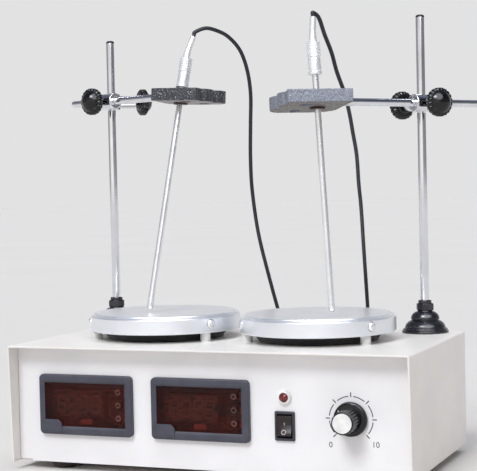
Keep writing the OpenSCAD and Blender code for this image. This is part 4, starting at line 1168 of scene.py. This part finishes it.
# Stands
def make_feet_of_stands():
    """The two bell-shaped rod bases, each with an eight-sided nut and a ring on top."""
    hole = BELL_HOLE_R
    bell = [
        (hole, 0), (18.5, 0), (18.5, 1.6), (17.6, 1.7), (17.6, 3.2), (16.1, 3.3), (16.0, 4.6), (15.3, 6.5),
        (13.6, 8.3), (11.4, 9.6), (10.6, 9.9), (10.6, 10.4), (11.4, 10.7), (11.1, 12.7), (9.9, 14.8),
        (7.6, 16.4), (6.2, 16.7), (5.8, 17.7), (hole, 17.7)]
    nut = [(hole, 17.6), (6.5, 17.6), (7.0, 18.1), (7.0, 22.6), (6.5, 23.1), (hole, 23.1)]
    parts = []
    for x, y in RODS.values():
        place = shift(x, y, CASE_TOP)
        parts += [
            washer(bell, 0.55, place, 96, 4),
            washer(oblong(hole, 5.25, 23, 25.6), 0.5, place, 64, 4),
            lathe(nut, place, 8, closed=True),
        ]
    build("stand_bells", parts, BELL_GLOSS, "case", "stand_feet", 32, "black_gloss")


def make_rod(side):
    place = shift(*RODS[side], 0)
    base, top = CASE_TOP + ROD_SEAT, ROD_TOPS[side]
    neck = top - ROD_CAP
    rod = spindle(oblong(0, ROD_R, base, neck), 0.2, place, 64)
    build(f"rod_{side}", [rod], "chrome_plate", f"stand_{side}", f"support_rod_{side}")
    cap = spindle([
        (0, neck + 0.01), (ROD_R - 0.02, neck + 0.01), (ROD_R - 0.02, top - 1.0), (ROD_R - 1.3, top),
        (0, top)], 0.5, place, 64, 4)
    build(f"rod_cap_{side}", [cap], ROD_CAP_DARK, f"stand_{side}", slot="black_gloss")


def clamp_screw(rod_r, dist, place):
    """A stud and a ball-shaped knob with a lobed rim."""
    base = dist - CLAMP_LEN / 2
    tip = rod_r + STUD_GAP

    def lobes(angle, radius, height):
        if not 1.0 < height - base < 7.7 or radius < CLAMP_R - 3:
            return 0
        return -LOBE_DEPTH * max(0.0, cos(LOBES * angle)) ** 2

    stud = [
        (0, tip), (STUD_TIP_R, tip), (STUD_R, tip + STUD_CONE), (STUD_R, base + 1.2), (0, base + 1.2)]
    body = soften([
        (0, base), (5.5, base), (6.5, base + 1.0), (CLAMP_R - 2, base + 1.0), (CLAMP_R, base + 2.5),
        (CLAMP_R, base + 6.3), (CLAMP_R - 1.5, base + 7.4)], 0.6, 4)
    body += arc(0, base + 1.8, DOME_R, DOME_START, 90, 14)[:-1] + [(0, base + CLAMP_LEN)]
    return [spindle(stud, 0.2, place, 32), lathe(body, place, 240, lobes)]


def make_clamps(side):
    head = arm_place(side)
    rod_way = head @ turn("Z", -ROD_KNOB_TURN[side]) @ turn("X", -90)
    arm_way = head @ shift(0, -CROSS_OFF, 0) @ turn("Z", ARM_KNOB_TURN) @ turn("X", 90)
    for kind, screw in (
            ("rod", clamp_screw(ROD_R, ROD_KNOB_DIST[side], rod_way)),
            ("arm", clamp_screw(CROSS_R, ARM_KNOB_DIST, arm_way))):
        build(f"{kind}_knob_{side}_moulded", screw, "black_gloss", f"{kind}_clamp_{side}",
              f"{kind}_knob_{side}")


def make_cross_rod(side):
    tail = CROSS_TAIL[side]
    end = tail + (HOLD_X[side] + CROSS_EMBED)
    place = arm_place(side) @ shift(-tail, -CROSS_OFF, 0) @ turn("Y", 90)
    rod = spindle(oblong(0, CROSS_R, 0, end), 0.7, place, 56, 4)
    build(f"cross_rod_{side}_drawn", [rod], CHROME_ARM[side], f"arm_{side}", f"cross_rod_{side}",
          slot="chrome_plate")


def ripple(amount, size):
    """Waviness of a casting's skin, in metres, from a fixed noise."""
    return lambda point: amount * MM * skin_noise.fractal(point / (size * MM), 0.9, 2.0, 4)


def make_castings(side):
    remeshed(
        f"boss_head_{side}", CHROME_CAST, 0.4, 6, f"boss_{side}", "chrome_plate", ripple(0.05, 6))
    remeshed(
        f"probe_holder_{side}", CAST_FINISH[side], 0.42, 2, f"arm_{side}", "cast_dark", ripple(0.12, 2.6))


make_feet_of_stands()
for _side in SIDES:
    make_rod(_side)
    make_clamps(_side)
    make_cross_rod(_side)
    make_castings(_side)


# Probes
def make_probe(side):
    hole, way = probe_line(side)
    tip = Vector(TIPS[side])
    length = (hole - tip).length + STEMS[side] + 1
    nose = [radians(a) for a in range(0, 91, 10)]
    profile = [(PROBE_R * sin(a), PROBE_R - PROBE_R * cos(a)) for a in nose]
    profile += [(PROBE_R, length - 0.2), (0, length)]
    build(f"probe_{side}_tube", [lathe(profile, along(tip, way), 48)], "bright_steel", f"sensor_{side}",
          f"probe_{side}")


def plug_body(place):
    """The plug's collar, body and ribbed grip."""
    ribs_z = COLLAR_H + PLUG_BODY_H
    profile = [
        (2.52, 0), (PLUG_R, 0), (PLUG_R, COLLAR_H), (4.6, COLLAR_H + 0.1), (5.0, COLLAR_H + 0.7),
        (5.0, ribs_z - 0.6)]
    for i in range(PLUG_RIBS):
        z = ribs_z + i * RIB_PITCH
        profile += [(4.5, z), (4.5, z + 0.6), (PLUG_R, z + 0.9), (PLUG_R, z + 1.8)]
    profile += [(3.5, PLUG_H), (3.0, PLUG_H + 1), (2.9, PLUG_H + TAIL_STRAIGHT)]
    return lathe(soften(profile, 0.3, 3) + [(0, PLUG_H + TAIL_STRAIGHT)], place, 64)


def plug_tail(knee, way, tail):
    """The bent tail that the cable leaves, narrowing towards its end."""
    centres = [knee - way * 2.2]
    start, stop = knee - way * 2, knee + tail * 3.5
    for k in range(9):
        t = k / 8
        centres.append(start * (1 - t) ** 2 + knee * 2 * t * (1 - t) + stop * t * t)
    centres += [knee + tail * d for d in (6, 9, 12, TAIL_BENT - 0.35, TAIL_BENT)]
    last = len(centres) - 1
    radii = [2.95 - 0.65 * k / last for k in range(last + 1)]
    radii[-1] -= 0.3
    return loft(rings_along(centres, radii, 32))


def make_plug(side):
    hole, way = probe_line(side)
    base = hole + way * STEMS[side]
    tail = plug_tail(base + way * (PLUG_H + TAIL_STRAIGHT), way, tail_line(side)[1])
    build(f"probe_plug_{side}_plated", [plug_body(along(base, way)), tail], CHROME_TURNED,
          f"sensor_{side}", f"probe_plug_{side}", 30, "chrome_plate")


def make_bush(side):
    place = holder_place(side) @ shift(*HOLE_PROBE, 0)
    top, low = HOLD_T / 2 - 0.1, -HOLD_T / 2
    bush = washer([
        (2.0, low - 1.5), (5.75, low - 1.5), (5.75, low), (4.48, low), (4.48, top),
        (2.0, top)], 0.35, place, 56)
    build(f"probe_bush_{side}_moulded", [bush], "brown_rubber", f"arm_{side}", f"probe_bush_{side}")


for _side in SIDES:
    make_probe(_side)
    make_plug(_side)
    make_bush(_side)


# Rear panel
def grip(angle, radius, height):
    """Flutes round the rear plugs' wide part."""
    inside = 2.5 < height < 10.5 and radius > 6.5
    return -0.25 * max(0.0, cos(LOBES * angle)) ** 2 if inside else 0


def make_rear():
    refined("sensor_sockets", "bright_steel", 0.25)
    refined("mains_inlet", "black_gloss", 0.25)
    refined("fuse_holder", "black_gloss", 0.25)
    neck, end = REAR_PLUG_BODY, REAR_PLUG_BODY + REAR_PLUG_TAIL
    plug = soften([
        (0, -9), (4, -9), (4, 0), (7, 0), (7, 11), (5, neck), (3.4, neck), (2.4, end), (0, end)], 0.5, 4)
    places = [shift(x, BACK_Y + SOCKET_PROUD, SOCKET_Z) @ turn("X", -90) for x in SOCKET_XS]
    parts = [lathe(plug, place, 160, grip) for place in places]
    build("rear_plugs", parts, "switch_grey", "case", "cable_plugs", 40)


make_rear()


# Floor, light and finish
BACKDROP = srgb(226, 226, 227)
ROOM_LOW = (0.9, 0.87, 0.845)
ROOM_HIGH = (0.15, 0.17, 0.23)
SOFTBOX_WAY = (0.35, -0.55, 0.76)
SOFTBOX = (4.4, 4.4, 4.6)
DEPTH_NEAR = (1.0, 1.0, 1.0)
DEPTH_FAR = (0.8, 0.8, 0.8)
GLOSS_SIDES = (
    (0.05, (0.4, 0.41, 0.45)), (0.2, (1.1, 1.1, 1.1)), (0.68, (1.25, 1.25, 1.25)), (0.86, (0.3, 0.31, 0.34)))


def make_floor():
    form = bmesh.new()
    bmesh.ops.create_circle(form, cap_ends=True, segments=96, radius=14)
    mesh = bpy.data.meshes.new("floor")
    form.to_mesh(mesh)
    form.free()
    mat = plain("floor_pale", srgb(216, 213, 209), 0.9, Specular_IOR_Level=0.0)
    tint(mat, noise(mat, 400, 3), srgb(215, 212, 208), srgb(217, 214, 210))
    mesh.materials.append(mat)
    add_object("floor", mesh)


def sun_light(name, way, power, spread, colour, glossy=True):
    data = bpy.data.lights.new(name, "SUN")
    data.energy = power
    data.angle = radians(spread)
    data.color = colour
    light = add_object(name, data)
    light.rotation_euler = Vector(way).to_track_quat("-Z", "Y").to_euler()
    light.visible_glossy = glossy


def make_world():
    """A pale backdrop, and a room that is light low down, with dark sides and a softbox in the gloss."""
    world = bpy.data.worlds.new("studio")
    world.use_nodes = True
    tree = world.node_tree
    backdrop = fill(tree.nodes["Background"], Color=(*BACKDROP, 1))
    way = add_node(tree, "TexCoord").outputs["Generated"]
    x, y, z = add_node(tree, "SeparateXYZ", Vector=way).outputs
    height = ramp_colour(tree, z, ((0.12, ROOM_LOW), (0.62, ROOM_HIGH)))
    depth = ramp_colour(tree, y, ((0.0, DEPTH_NEAR), (0.8, DEPTH_FAR)))
    sides = ramp_colour(tree, mapped(tree, x, From_Min=-1), GLOSS_SIDES)
    even = mixed(tree, "MULTIPLY", 1.0, height, depth)
    towards = add_node(tree, "VectorMath", Vector=way)
    towards.operation = "DOT_PRODUCT"
    towards.inputs[1].default_value = Vector(SOFTBOX_WAY).normalized()
    softbox = ramp_colour(tree, towards.outputs["Value"], ((0.83, (0, 0, 0)), (0.92, SOFTBOX)))
    streaked = mixed(tree, "ADD", 1.0, mixed(tree, "MULTIPLY", 1.0, even, sides), softbox)
    path = add_node(tree, "LightPath")
    chosen = mixed(tree, "MIX", path.outputs["Is Glossy Ray"], even, streaked)
    room = add_node(tree, "Background", Color=chosen)
    mix = add_node(tree, "MixShader", Fac=path.outputs["Is Camera Ray"])
    tree.links.new(room.outputs["Background"], mix.inputs[1])
    tree.links.new(backdrop.outputs["Background"], mix.inputs[2])
    tree.links.new(mix.outputs["Shader"], tree.nodes["World Output"].inputs["Surface"])
    bpy.context.scene.world = world


def make_light():
    make_world()
    sun_light("key", (0.16, 0.95, -1.0), 1.85, 22, (0.94, 0.97, 1.0))
    sun_light("top", (-0.1, 0.1, -1.0), 1.5, 60, (0.97, 0.98, 1.0), False)
    bpy.context.scene.view_settings.view_transform = "Standard"


make_floor()
make_light()

bpy.context.view_layer.update()
